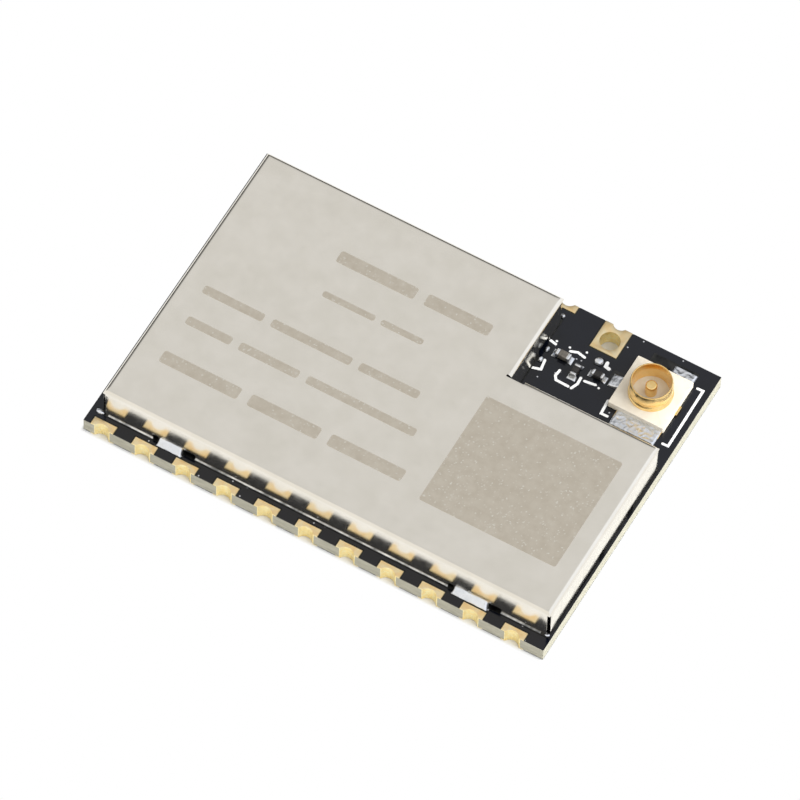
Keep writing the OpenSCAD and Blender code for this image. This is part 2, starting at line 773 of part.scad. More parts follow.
module crystal_base() {
    color(ceramic_tan)
    translate([crystal_at.x, crystal_at.y, board_t + crystal_base_h / 2])
        cube([crystal_l, crystal_w, crystal_base_h], center = true);
}

module crystal_lid() {
    lid_l = crystal_l - 2 * crystal_lid_inset;
    lid_w = crystal_w - 2 * crystal_lid_inset;
    color(nickel_silver)
    translate([crystal_at.x, crystal_at.y, board_t + crystal_base_h + crystal_lid_h / 2])
        cube([lid_l, lid_w, crystal_lid_h], center = true);
}

// Gull-wing lead; Y runs outwards from the body's middle
module switch_lead() {
    knee = switch_w / 2 + switch_lead_t;
    toe = switch_w / 2 + switch_lead_reach;
    hip_z = (switch_h + switch_standoff) / 2;
    rotate([90, 0, 90]) linear_extrude(switch_lead_w, center = true)
        polygon([[switch_w / 4, hip_z], [switch_w / 2, hip_z], [switch_w / 2, 0], [toe, 0],
                 [toe, switch_lead_t], [knee, switch_lead_t], [knee, hip_z + switch_lead_t],
                 [switch_w / 4, hip_z + switch_lead_t]]);
}

module antenna_switch_leads() {
    color(tinned)
    for (turn = [0, 180], i = [-1 : 1])
        translate([switch_at.x + i * switch_lead_pitch, switch_at.y, board_t]) rotate(turn) switch_lead();
}

module antenna_switch_body() {
    color(moulding)
    difference() {
        translate([switch_at.x, switch_at.y, board_t + (switch_h + switch_standoff) / 2])
            cube([switch_l, switch_w, switch_h - switch_standoff], center = true);
        antenna_switch_leads();
    }
}

module chip_part_bodies(places, size) {
    body_l = size.x - 2 * chip_end_l(size);
    for (p = places)
        translate([p[0].x, p[0].y, board_t + size.z / 2]) rotate(p[1])
            cube([body_l, size.y, size.z], center = true);
}

module chip_part_ends(places, size) {
    end_l = chip_end_l(size);
    for (p = places, s = [-1, 1])
        translate([p[0].x, p[0].y, board_t + size.z / 2]) rotate(p[1])
            translate([s * (size.x - end_l) / 2, 0, 0]) cube([end_l, size.y, size.z], center = true);
}

// Solder wedge from the end face of a chip part down to its land
module chip_part_fillets(places, size) {
    for (p = places, s = [0, 180])
        translate([p[0].x, p[0].y, board_t]) rotate(p[1] + s)
            translate([size.x / 2, size.y / 2, 0]) rotate([90, 0, 0]) linear_extrude(size.y)
                polygon([[0, 0], [chip_solder_w, 0], [0, chip_solder_h]]);
}

module inner_capacitors() {
    color(ceramic_tan) chip_part_bodies(cap_places, cap_size);
}

module inner_coils() {
    color(ferrite_grey) chip_part_bodies(coil_places, coil_size);
}

module inner_resistors() {
    color(moulding) chip_part_bodies(resistor_places, resistor_size);
}

module inner_part_ends() {
    color(tinned) {
        chip_part_ends(cap_places, cap_size);
        chip_part_ends(coil_places, coil_size);
        chip_part_ends(resistor_places, resistor_size);
    }
}

// Matching parts in the notch

module notch_inductor() {
    color(ferrite_grey) chip_part_bodies(inductor_places, inductor_size);
}

module notch_capacitors() {
    color(moulding) chip_part_bodies(small_cap_places, small_cap_size);
}

module notch_part_ends() {
    color(tinned) {
        chip_part_ends(inductor_places, inductor_size);
        chip_part_ends(small_cap_places, small_cap_size);
    }
}

// Cap of a sphere that stands on a spare land
module solder_dome(at, r, h) {
    sphere_r = (r * r + h * h) / (2 * h);
    translate([at.x, at.y, board_t])
    intersection() {
        translate([0, 0, h - sphere_r]) sphere(r = sphere_r);
        translate([-2 * r, -2 * r, 0]) cube([4 * r, 4 * r, 2 * h]);
    }
}

module notch_solder() {
    color(tinned)
    difference() {
        union() {
            chip_part_fillets(inductor_places, inductor_size);
            chip_part_fillets(small_cap_places, small_cap_size);
            solder_dome(rear_spare_at, rear_dome_r, rear_dome_h);
            for (at = wall_spares_at) solder_dome(at, dome_r, dome_h);
        }
        notch_part_ends();
    }
}

// Antenna socket, built about its own axis and then placed

module at_socket() {
    translate([socket_x, socket_y, board_t]) children();
}

strip_top = insulator_base + strip_t;
ring_bore_r = ring_r - ring_wall;
neck_r = ring_r - groove_depth;
root_r = neck_r - groove_depth / 2;
ring_mid_r = (ring_bore_r + root_r) / 2;
flange_r = ring_r + flange_out;
flange_top = insulator_h + flange_h;
groove_top = flange_top + groove_h;
stub_end = insulator_half + leg_reach / 2;

// Ground leg: out of the ring's foot, down the insulator's side and out along the land
module ground_leg() {
    rotate([90, 0, 90]) translate([0, 0, ground_leg_shift]) linear_extrude(ground_leg_w, center = true)
        polygon([[ring_mid_r, insulator_base], [insulator_half, insulator_base],
                 [insulator_half, 0], [leg_end, 0], [leg_end, strip_t],
                 [insulator_half + strip_t, strip_t], [insulator_half + strip_t, strip_top],
                 [ring_mid_r, strip_top]]);
}

module shell_strips() {
    ground_leg();
    mirror([0, 1, 0]) ground_leg();
    translate([ring_mid_r, -tail_w / 2, insulator_base]) cube([stub_end - ring_mid_r, tail_w, strip_t]);
}

module ring_tube() {
    rotate_extrude()
        polygon([
            [ring_bore_r, insulator_base], [root_r, insulator_base], [neck_r, insulator_h],
            [flange_r, insulator_h], [flange_r - flange_taper, flange_top],
            [neck_r, (flange_top + groove_top) / 2], [ring_r, groove_top],
            [ring_r, ring_h - ring_chamfer], [ring_r - ring_chamfer, ring_h],
            [ring_bore_r + ring_chamfer, ring_h], [ring_bore_r, ring_h - ring_chamfer]
        ]);
}

module shell_solid() {
    difference() {
        union() {
            ring_tube();
            shell_strips();
        }
        cylinder(r = ring_bore_r, h = ring_h + past);
    }
}

module socket_ground_shell() {
    color(gold) at_socket() shell_solid();
}

module contact_solid() {
    cylinder(r = pin_r, h = pin_h - pin_r);
    translate([0, 0, pin_h - pin_r]) sphere(r = pin_r);
    translate([-leg_end, -tail_w / 2, 0]) cube([leg_end, tail_w, tail_t]);
}

module socket_centre_contact() {
    color(gold) at_socket() contact_solid();
}

module socket_insulator() {
    color(ivory)
    at_socket() difference() {
        translate([-insulator_half, -insulator_half, 0]) cube([insulator_side, insulator_side, insulator_h]);
        shell_solid();
        contact_solid();
    }
}

// Solder over a leg's foot; X runs outwards from the socket's axis
module leg_solder(w, strip, heel) {
    rotate([90, 0, 0]) linear_extrude(w, center = true)
        polygon([[heel, strip], [leg_end, strip], [leg_end, 0], [socket_land_end, 0],
                 [leg_end, 1.05 * strip], [heel, 1.8 * strip]]);
}

module socket_solder() {
    color(tinned)
    at_socket() {
        for (turn = [90, -90])
            translate([ground_leg_shift, 0, 0]) rotate(turn)
                leg_solder(ground_leg_w, strip_t, insulator_half + strip_t);
        rotate(180) leg_solder(tail_w, tail_t, insulator_half);
    }
}

board_core();
top_solder_mask();
bottom_solder_mask();
front_edge_pads();
back_edge_pads();
antenna_land();
shield_ground_ring();
component_lands();
shield_can();
shield_solder();
radio_chip_body();
radio_chip_leads();
crystal_base();
crystal_lid();
antenna_switch_body();
antenna_switch_leads();
inner_capacitors();
inner_coils();
inner_resistors();
inner_part_ends();
notch_inductor();
notch_capacitors();
notch_part_ends();
notch_solder();
socket_insulator();
socket_ground_shell();
socket_centre_contact();
socket_solder();
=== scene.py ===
"""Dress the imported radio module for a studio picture.

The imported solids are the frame. Pieces with a fine form, such as the folded shield can,
the edge pads and the antenna socket, are built here at their solids' places and sizes.
The other nodes keep their solids and get a finish of their own. Sizes are in millimetres
and angles in degrees, unless a name or a comment says otherwise.
"""

from __future__ import annotations

import logging
import math
from dataclasses import dataclass, field
from enum import Enum
from typing import Callable, Sequence

import bmesh
import bpy
from mathutils import Matrix, Vector, noise

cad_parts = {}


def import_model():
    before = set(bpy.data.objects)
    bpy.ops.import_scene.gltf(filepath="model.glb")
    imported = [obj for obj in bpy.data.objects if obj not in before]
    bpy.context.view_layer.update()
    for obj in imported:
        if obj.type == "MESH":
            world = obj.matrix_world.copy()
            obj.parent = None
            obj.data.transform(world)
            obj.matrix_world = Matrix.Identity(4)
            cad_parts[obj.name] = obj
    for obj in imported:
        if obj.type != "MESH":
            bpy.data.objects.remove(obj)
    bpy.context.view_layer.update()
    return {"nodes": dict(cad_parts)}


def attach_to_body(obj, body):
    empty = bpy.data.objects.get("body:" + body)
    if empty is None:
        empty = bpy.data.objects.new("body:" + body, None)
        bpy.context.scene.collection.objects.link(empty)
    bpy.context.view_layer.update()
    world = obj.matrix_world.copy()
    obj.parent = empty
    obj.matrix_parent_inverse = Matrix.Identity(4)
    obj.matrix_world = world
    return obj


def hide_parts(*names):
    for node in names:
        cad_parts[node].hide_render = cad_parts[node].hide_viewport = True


LOG = logging.getLogger("radio_module")
MM = 0.001
MICRON = 1e-6
BODY = "root"
# Spans of noise that are stretched to a finish's whole range
PATCH_SPAN = (0.32, 0.68)
POLISH_SPAN = (0.3, 0.7)
# Size of the polish's clouds, as a share of the colour's patches
POLISH_CLOUD = 0.4
# Least height of frozen solder, in millimetres
FILM = 0.002
# Lumps of a solder drop: their share of its size, and how many waves they make over it
LUMP_SHARE = 0.12
LUMP_WAVES = 1.3
# Decimals of a millimetre to which places have to agree to be one
WELD_DIGITS = 4
# A length that is as good as none
HAIR = 1e-6

Pair = tuple[float, float]
Triple = tuple[float, float, float]
Tree = bpy.types.NodeTree
Socket = bpy.types.NodeSocket
Piece = bpy.types.Object
Draft = bmesh.types.BMesh


class Smoothing(Enum):
    """Angle in degrees past which an edge of a piece stays sharp."""

    SHEET = 24.0
    PART = 34.0
    BLOB = 70.0


class Wall(Enum):
    """Walls of the shield can, clockwise from the notch's right corner."""

    RIGHT = 0
    FRONT = 1
    LEFT = 2
    BACK = 3
    NOTCH_SIDE = 4
    NOTCH_FRONT = 5


def linear(colour: str) -> tuple[float, float, float, float]:
    """Turn an sRGB hex colour to linear.

    Args:
        colour: "#RRGGBB".

    Returns:
        Red, green, blue and an alpha of 1.
    """
    shares = [int(colour[i : i + 2], 16) / 255 for i in (1, 3, 5)]
    red, green, blue = (s / 12.92 if s <= 0.04045 else ((s + 0.055) / 1.055) ** 2.4 for s in shares)
    return red, green, blue, 1.0


def per_size(size_mm: float) -> float:
    """Pattern scale, in cells per metre, of a pattern with cells of this size."""
    return 1.0 / (size_mm * MM)


def add_node(tree: Tree, kind: str, inputs: dict | None = None, **settings: object) -> bpy.types.Node:
    """Add a node with its settings and links.

    Args:
        tree: The node tree.
        kind: The node's type name.
        inputs: Value or output socket for each input, by name or number.
        **settings: Properties of the node.

    Returns:
        The new node.
    """
    node = tree.nodes.new(kind)
    for name, value in settings.items():
        setattr(node, name, value)
    for key, value in (inputs or {}).items():
        if isinstance(value, Socket):
            tree.links.new(value, node.inputs[key])
        else:
            node.inputs[key].default_value = value
    return node


# Finishes


@dataclass(frozen=True)
class Finish:
    """A surface named for the material it is made of.

    Attributes:
        name: Name of the material.
        tone: Colour of most of it.
        shade: Colour of its patches.
        patch_mm: Size of the patches.
        roughness: Mean roughness.
        uneven: How far the roughness swings up and down.
        grain_mm: Size of the grain.
        grain_um: Depth of the grain, in micrometres.
    """

    name: str
    tone: str
    shade: str
    patch_mm: float
    roughness: float
    uneven: float
    grain_mm: float
    grain_um: float

    def material(self) -> bpy.types.Material:
        """Make the finish's material when it is first asked for.

        Returns:
            The material.
        """
        made = bpy.data.materials.get(self.name)
        if made is None:
            made = bpy.data.materials.new(self.name)
            made.use_nodes = True
            made.node_tree.nodes.clear()
            surface = self.surface(made.node_tree)
            add_node(made.node_tree, "ShaderNodeOutputMaterial", {"Surface": surface})
        return made

    def place(self, tree: Tree) -> Socket:
        """Return the object coordinates that every pattern of the finish reads."""
        return add_node(tree, "ShaderNodeTexCoord").outputs["Object"]

    def colour(self, tree: Tree, at: Socket) -> Socket:
        """Patches between the finish's tone and its shade.

        Args:
            tree: The node tree.
            at: Coordinates.

        Returns:
            The colour socket.
        """
        noise_at = {"Vector": at, "Scale": per_size(self.patch_mm), "Detail": 3.0}
        patches = add_node(tree, "ShaderNodeTexNoise", noise_at)
        low, high = PATCH_SPAN
        reach = {"Value": patches.outputs[0], "From Min": low, "From Max": high}
        spread = add_node(tree, "ShaderNodeMapRange", reach)
        inputs = {0: spread.outputs[0], 6: linear(self.tone), 7: linear(self.shade)}
        return add_node(tree, "ShaderNodeMix", inputs, data_type="RGBA").outputs[2]

    def polish(self, tree: Tree, at: Socket) -> Socket:
        """Roughness that swings a little from place to place.

        Args:
            tree: The node tree.
            at: Coordinates.

        Returns:
            The roughness socket.
        """
        noise_at = {"Vector": at, "Scale": per_size(self.patch_mm * POLISH_CLOUD), "Detail": 2.0}
        cloud = add_node(tree, "ShaderNodeTexNoise", noise_at)
        low, high = POLISH_SPAN
        reach = {
            "Value": cloud.outputs[0],
            "From Min": low,
            "From Max": high,
            "To Min": self.roughness - self.uneven,
            "To Max": self.roughness + self.uneven,
        }
        return add_node(tree, "ShaderNodeMapRange", reach).outputs[0]

    def relief(self, tree: Tree, at: Socket) -> Socket:
        """Fine grain as a bump of the finish's real depth.

        Args:
            tree: The node tree.
            at: Coordinates.

        Returns:
            The normal socket.
        """
        noise_at = {"Vector": at, "Scale": per_size(self.grain_mm), "Detail": 2.0}
        grain = add_node(tree, "ShaderNodeTexNoise", noise_at)
        depth = {"Height": grain.outputs[0], "Distance": self.grain_um * MICRON, "Strength": 1.0}
        return add_node(tree, "ShaderNodeBump", depth).outputs[0]

    def overlaid(self, tree: Tree, at: Socket, share: Socket, colour: str) -> Socket:
        """Lay another colour over the patches.

        Args:
            tree: The node tree.
            at: Coordinates.
            share: How much of the other colour shows.
            colour: The other colour.

        Returns:
            The colour socket.
        """
        inputs = {0: share, 6: self.colour(tree, at), 7: linear(colour)}
        return add_node(tree, "ShaderNodeMix", inputs, data_type="RGBA").outputs[2]

    def tint(self, tree: Tree, at: Socket) -> Socket:
        """Colour of the surface: plain patches, unless the finish adds to them."""
        return self.colour(tree, at)

    def optics(self) -> dict[str, float]:
        """Shader values that set this kind of material apart."""
        return {}

    def surface(self, tree: Tree) -> Socket:
        """Build the shader.

        Args:
            tree: The node tree.

        Returns:
            The shader socket.
        """
        at = self.place(tree)
        inputs = {
            "Base Color": self.tint(tree, at),
            "Roughness": self.polish(tree, at),
            "Normal": self.relief(tree, at),
        }
        return add_node(tree, "ShaderNodeBsdfPrincipled", {**inputs, **self.optics()}).outputs[0]


@dataclass(frozen=True)
class Metal(Finish):
    """A metal with an uneven tone and polish."""

    def optics(self) -> dict[str, float]:
        """Shader values of a metal, which keeps the default IOR."""
        return {"Metallic": 1.0}


@dataclass(frozen=True)
class EtchedMetal(Metal):
    """Laser-marked sheet: a matt straw-coloured skin with grains that still sparkle."""

    spark: str
    spark_mm: float
    spark_span: Pair = (0.82, 0.92)

    def tint(self, tree: Tree, at: Socket) -> Socket:
        """Let a few bright grains show through the skin.

        Args:
            tree: The node tree.
            at: Coordinates.

        Returns:
            The colour socket.
        """
        cells = add_node(tree, "ShaderNodeTexVoronoi", {"Vector": at, "Scale": per_size(self.spark_mm)})
        low, high = self.spark_span
        reach = {"Value": cells.outputs["Color"], "From Min": low, "From Max": high}
        lit = add_node(tree, "ShaderNodeMapRange", reach)
        return self.overlaid(tree, at, lit.outputs[0], self.spark)


@dataclass(frozen=True)
class Dielectric(Finish):
    """A plastic, ceramic or ink."""

    ior: float = field(default=1.5, kw_only=True)

    def optics(self) -> dict[str, float]:
        """Shader values of a material that isn't a metal."""
        return {"IOR": self.ior}


@dataclass(frozen=True)
class SolderMask(Dielectric):
    """Cured lacquer: near black, glossy, gently wavy, with a few pale specks of dust."""

    speck: str
    speck_mm: float
    speck_rim: Pair = (0.075, 0.04)
    bare_cells: float = 0.73

    def tint(self, tree: Tree, at: Socket) -> Socket:
        """Scatter round specks over the lacquer, in the few cells that hold one.

        Args:
            tree: The node tree.
            at: Coordinates.

        Returns:
            The colour socket.
        """
        noise_at = {"Vector": at, "Scale": per_size(self.speck_mm)}
        cells = add_node(tree, "ShaderNodeTexVoronoi", noise_at, voronoi_dimensions="2D")
        outer, inner = self.speck_rim
        reach = {"Value": cells.outputs["Distance"], "From Min": outer, "From Max": inner}
        near = add_node(tree, "ShaderNodeMapRange", reach)
        held = {0: cells.outputs["Color"], 1: self.bare_cells}
        rare = add_node(tree, "ShaderNodeMath", held, operation="GREATER_THAN")
        both = {0: near.outputs[0], 1: rare.outputs[0]}
        speck = add_node(tree, "ShaderNodeMath", both, operation="MULTIPLY")
        return self.overlaid(tree, at, speck.outputs[0], self.speck)


@dataclass(frozen=True)
class GlassEpoxy(Dielectric):
    """Sawn fibreglass laminate: pale layers of cloth in greenish resin."""

    # Colour of the flat faces, near black: painted shade in the narrow mask windows
    face: str
    layer_mm: float
    streak_mm: float

    def place(self, tree: Tree) -> Socket:
        """Return coordinates squeezed in height, so that patches lie in layers."""
        squeeze = {"Vector": super().place(tree), "Scale": (1.0, 1.0, self.streak_mm / self.layer_mm)}
        return add_node(tree, "ShaderNodeMapping", squeeze).outputs[0]

    def tint(self, tree: Tree, at: Socket) -> Socket:
        """Pale where it is sawn, near black on its flat faces, which paints the shade in the narrow mask
        windows.

        Args:
            tree: The node tree.
            at: Coordinates.

        Returns:
            The colour socket.
        """
        facing = add_node(tree, "ShaderNodeNewGeometry").outputs["Normal"]
        height = add_node(tree, "ShaderNodeSeparateXYZ", {0: facing}).outputs[2]
        flat = add_node(tree, "ShaderNodeMath", {0: height}, operation="ABSOLUTE")
        return self.overlaid(tree, at, flat.outputs[0], self.face)


# Grain that is too fine to show, such as a plating's, is drawn at 0.05 mm or more, so that it shows.
# Rolled nickel silver: a warm light grey sheet with a satin mirror and faint rolling stains.
SHEET = Metal("Rolled_nickel_silver", "#F2EDE2", "#ECE7DB", 1.1, 0.17, 0.03, 0.09, 0.2)
# Laser-marked nickel silver: straw-coloured oxide, matt, with bright grains left in it.
MARKED = EtchedMetal(
    "Laser_marked_nickel_silver", "#E6DDCC", "#DDD3C1", 0.4, 0.4, 0.05, 0.07, 1.0, "#F4EFE2", 0.06
)
# Gold flash over nickel on the lands: pale, satin, with the copper's grain below it.
LAND_GOLD = Metal("Gold_flash_on_copper", "#FFEFC6", "#FFDFA4", 0.3, 0.42, 0.06, 0.08, 0.6)
# Gold flash on the upright faces, the cut holes' walls most of all: it glitters over the drill's torn wall,
# and its tone, paler than the lands', is painted light.
WALL_GOLD_PAINTED_LIGHT = Metal("Gold_flash_on_walls_painted_light", "#FFF4C4", "#FFE69C", 0.14, 0.34, 0.1, 0.11, 5.0)
# Bright gold plating on the socket: deeper, smooth, mirror-like.
PLATED_GOLD = Metal("Bright_gold_plating", "#FFE0A0", "#FBD388", 0.4, 0.24, 0.03, 0.05, 0.3)
# Reflowed solder: blue-white, rippled where it froze.
SOLDER = Metal("Reflowed_tin_solder", "#F1F3F6", "#E4E8ED", 0.3, 0.32, 0.06, 0.14, 0.4)
# Solder drawn thin along the can's foot: its white and dark grey patches are painted highlights and painted
# shade.
BEAD_PAINTED_GLINTS = Metal("Tin_solder_bead_painted_glints", "#FFFFFF", "#7C7E80", 0.55, 0.28, 0.06, 0.14, 0.4)
# Sheared nickel silver: the sheet's cut edges, torn and dull.
SHEARED = Metal("Sheared_nickel_silver", "#D6CFC2", "#C4BDB0", 0.2, 0.42, 0.06, 0.06, 1.0)
# Tin painted near black: the ground ring at the can's foot, whose darkness is painted shade.
TIN_PAINTED_SHADE = Metal("Tin_painted_dark_as_shade", "#4A4A48", "#2E2F30", 0.3, 0.42, 0.08, 0.08, 0.8)
# Tinned copper: silvery, dull in patches.
TINNED = Metal("Tinned_copper", "#F0F1F2", "#DFE0E1", 0.2, 0.28, 0.06, 0.08, 0.6)
# Liquid photoimageable lacquer: near black and glossy, with pale dust on it.
MASK = SolderMask(
    "Black_solder_mask", "#070A12", "#0A0D16", 0.9, 0.16, 0.04, 0.25, 1.0, "#B9BABD", 0.55, ior=1.47
)
# Woven glass in epoxy: pale layers at the sawn edge; its flat faces are painted near black as shade in the
# mask windows.
LAMINATE = GlassEpoxy(
    "Glass_epoxy_laminate", "#AEAA98", "#999684", 0.5, 0.62, 0.08, 0.06, 6.0, "#2B2C26", 0.09, 0.5,
    ior=1.55,
)
# Moulded liquid crystal polymer: ivory, faintly glossy.
IVORY = Dielectric("Liquid_crystal_polymer", "#EBE3D2", "#E3D9C6", 0.6, 0.42, 0.06, 0.05, 0.8)
# Sintered ferrite: grey-brown, dull.
FERRITE = Dielectric("Sintered_ferrite", "#6B655C", "#555049", 0.12, 0.5, 0.06, 0.05, 2.0)
# Glazed chip ceramic: dark brown-grey, slightly glossy.
GLAZED = Dielectric("Glazed_chip_ceramic", "#2B2826", "#1E1C1B", 0.1, 0.35, 0.06, 0.05, 1.0)
# Fired capacitor ceramic: tan and matt.
TAN_CERAMIC = Dielectric("Fired_barium_titanate", "#A98C66", "#94774F", 0.2, 0.5, 0.05, 0.05, 1.5)
# Epoxy moulding compound: black with pale filler grains.
MOULDING = Dielectric("Epoxy_moulding_compound", "#26262A", "#1B1B1E", 0.12, 0.55, 0.06, 0.06, 2.5)
# Legend ink: chalky white epoxy.
LEGEND = Dielectric("White_legend_ink", "#FAFAF8", "#EFEFEC", 0.2, 0.6, 0.06, 0.05, 3.0)


# Mesh making, in millimetres


def rounded_box(
    bm: Draft, low: Sequence[float], high: Sequence[float], radius: float, where: Matrix, steps: int = 3
) -> None:
    """Add a box with rounded edges.

    Args:
        bm: The mesh.
        low: Lowest corner in the box's own place.
        high: Highest corner.
        radius: Radius of the edges.
        where: Matrix that puts the box in its place.
        steps: Facets round an edge.
    """
    low, high = Vector(low), Vector(high)
    middle, size = (low + high) / 2, high - low
    shape = where @ Matrix.Translation(middle) @ Matrix.Diagonal((*size, 1.0))
    made = bmesh.ops.create_cube(bm, size=1.0, matrix=shape)
    edges = {e for v in made["verts"] for e in v.link_edges}
    bmesh.ops.bevel(
        bm, geom=list(edges), offset=radius, segments=steps, profile=0.5, affect="EDGES", clamp_overlap=True
    )


def slab(
    bm: Draft, loops: Sequence[Sequence[Pair]], low: float, high: float, soft: float = 0.0, steps: int = 2
) -> None:
    """Add a flat slab between two heights.

    Args:
        bm: The mesh.
        loops: The outline, then any holes.
        low: Height of the underside.
        high: Height of the top.
        soft: Radius of the top's edges.
        steps: Facets round such an edge.
    """
    edges = []
    for loop in loops:
        corners = [bm.verts.new((x, y, low)) for x, y in loop]
        edges += [bm.edges.new((a, b)) for a, b in zip(corners, corners[1:] + corners[:1])]
    filled = bmesh.ops.triangle_fill(
        bm, use_beauty=True, use_dissolve=False, edges=edges, normal=(0, 0, 1)
    )
    faces = [g for g in filled["geom"] if isinstance(g, bmesh.types.BMFace)]
    raised = bmesh.ops.extrude_face_region(bm, geom=faces)["geom"]
    tops = [g for g in raised if isinstance(g, bmesh.types.BMFace)]
    bmesh.ops.translate(
        bm, vec=(0, 0, high - low), verts=[g for g in raised if isinstance(g, bmesh.types.BMVert)]
    )
    if soft > 0.0:
        known = set(tops)
        rims = [e for f in tops for e in f.edges if sum(g in known for g in e.link_faces) == 1]
        bmesh.ops.bevel(
            bm, geom=rims, offset=soft, segments=steps, profile=0.5, affect="EDGES", clamp_overlap=True
        )


def lathe(bm: Draft, profile: Sequence[Pair], centre: Pair, turns: int = 96) -> None:
    """Turn a closed profile about an upright axis.

    Args:
        bm: The mesh.
        profile: Radius and height of each point; a radius of 0 is on the axis.
        centre: Place of the axis.
        turns: Facets round the axis.
    """
    rings = []
    for radius, height in profile:
        if radius < HAIR:
            rings.append([bm.verts.new((*centre, height))])
            continue
        angles = [2 * math.pi * k / turns for k in range(turns)]
        ring = [(centre[0] + radius * math.cos(a), centre[1] + radius * math.sin(a)) for a in angles]
        rings.append([bm.verts.new((*place, height)) for place in ring])
    for one, two in zip(rings, rings[1:] + rings[:1]):
        if len(one) == 1 and len(two) == 1:
            continue
        for k in range(turns):
            n = (k + 1) % turns
            quad = [one[k % len(one)], one[n % len(one)], two[n % len(two)], two[k % len(two)]]
            bm.faces.new(list(dict.fromkeys(quad)))


def mound(
    bm: Draft,
    where: Matrix,
    size: Pair,
    steps: tuple[int, int],
    height: Callable[[float, float], float],
) -> None:
    """Add a closed mound on a rectangle, such as solder that has frozen on a land.

    Args:
        bm: The mesh.
        where: Matrix that puts the rectangle's start in its place.
        size: Length along X, centred, and reach along Y, from 0.
        steps: Facets along X and along Y.
        height: Height over the rectangle at a share of its length and of its reach.
    """
    across, out = steps
    top, base = [], []
    for i in range(across + 1):
        row, foot = [], []
        for j in range(out + 1):
            u, v = i / across, j / out
            x, y = (u - 0.5) * size[0], v * size[1]
            row.append(bm.verts.new(where @ Vector((x, y, max(height(u, v), FILM)))))
            foot.append(bm.verts.new(where @ Vector((x, y, 0.0))))
        top.append(row)
        base.append(foot)
    for i in range(across):
        for j in range(out):
            bm.faces.new((top[i][j], top[i + 1][j], top[i + 1][j + 1], top[i][j + 1]))
            bm.faces.new((base[i][j], base[i][j + 1], base[i + 1][j + 1], base[i + 1][j]))
    for i in range(across):
        bm.faces.new((top[i][0], base[i][0], base[i + 1][0], top[i + 1][0]))
        bm.faces.new((top[i][out], top[i + 1][out], base[i + 1][out], base[i][out]))
    for j in range(out):
        bm.faces.new((top[0][j], top[0][j + 1], base[0][j + 1], base[0][j]))
        bm.faces.new((top[across][j], base[across][j], base[across][j + 1], top[across][j + 1]))


def ripple(x: float, y: float, size: float, seed: float) -> float:
    """Smooth noise from about -1 to 1 at a place, with waves of this size."""
    return noise.noise(Vector((x / size + seed, y / size - seed, seed)))


def blob(bm: Draft, centre: Sequence[float], radii: Sequence[float], seed: float) -> None:
    """Add a lumpy drop of frozen solder.

    Args:
        bm: The mesh.
        centre: Middle of the drop.
        radii: Half sizes along X, Y and Z.
        seed: Makes each drop's lumps its own.
    """
    made = bmesh.ops.create_icosphere(bm, subdivisions=4, radius=1.0)
    for vert in made["verts"]:
        swell = 1.0 + LUMP_SHARE * noise.noise(vert.co * LUMP_WAVES + Vector((seed, -seed, seed)))
        vert.co = Vector(c + r * k * swell for c, r, k in zip(centre, radii, vert.co))


def put(x: float, y: float, z: float, turn_deg: float = 0.0) -> Matrix:
    """Matrix that turns about Z and then moves."""
    return Matrix.Translation((x, y, z)) @ Matrix.Rotation(math.radians(turn_deg), 4, "Z")


def arc(centre: Pair, radius: float, start_deg: float, end_deg: float, steps: int) -> list[Pair]:
    """Points along an arc.

    Args:
        centre: Middle of the arc.
        radius: Its radius.
        start_deg: Angle of the first point.
        end_deg: Angle of the last point.
        steps: Chords in the arc.

    Returns:
        The points, both ends among them.
    """
    angles = [math.radians(start_deg + (end_deg - start_deg) * k / steps) for k in range(steps + 1)]
    return [(centre[0] + radius * math.cos(a), centre[1] + radius * math.sin(a)) for a in angles]


def dress(mesh: bpy.types.Mesh, finish: Finish, smoothing: Smoothing) -> None:
    """Give a mesh its finish and its smooth and sharp edges.

    Args:
        mesh: The mesh.
        finish: Its finish.
        smoothing: Its sharp edges.
    """
    mesh.materials.clear()
    mesh.materials.append(finish.material())
    mesh.polygons.foreach_set("use_smooth", [True] * len(mesh.polygons))
    mesh.set_sharp_from_angle(angle=math.radians(smoothing.value))


def deliver(bm: Draft, name: str, finish: Finish, smoothing: Smoothing) -> Piece:
    """Turn a finished mesh in millimetres into an object in metres.

    Args:
        bm: The mesh, which is freed.
        name: Name of the piece.
        finish: Its finish.
        smoothing: Its sharp edges.

    Returns:
        The new object, at the origin.
    """
    bmesh.ops.recalc_face_normals(bm, faces=bm.faces[:])
    bm.transform(Matrix.Scale(MM, 4))
    mesh = bpy.data.meshes.new(name)
    bm.to_mesh(mesh)
    bm.free()
    dress(mesh, finish, smoothing)
    piece = bpy.data.objects.new(name, mesh)
    bpy.context.scene.collection.objects.link(piece)
    return piece


def attach(piece: Piece, slot: str | None, *nodes: str) -> None:
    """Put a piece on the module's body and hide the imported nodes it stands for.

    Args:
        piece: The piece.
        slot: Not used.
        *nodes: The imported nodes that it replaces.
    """
    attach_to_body(piece, BODY)
    if nodes:
        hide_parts(*nodes)
    LOG.info("%s: %d faces", piece.name, len(piece.data.polygons))


# Sub-assemblies


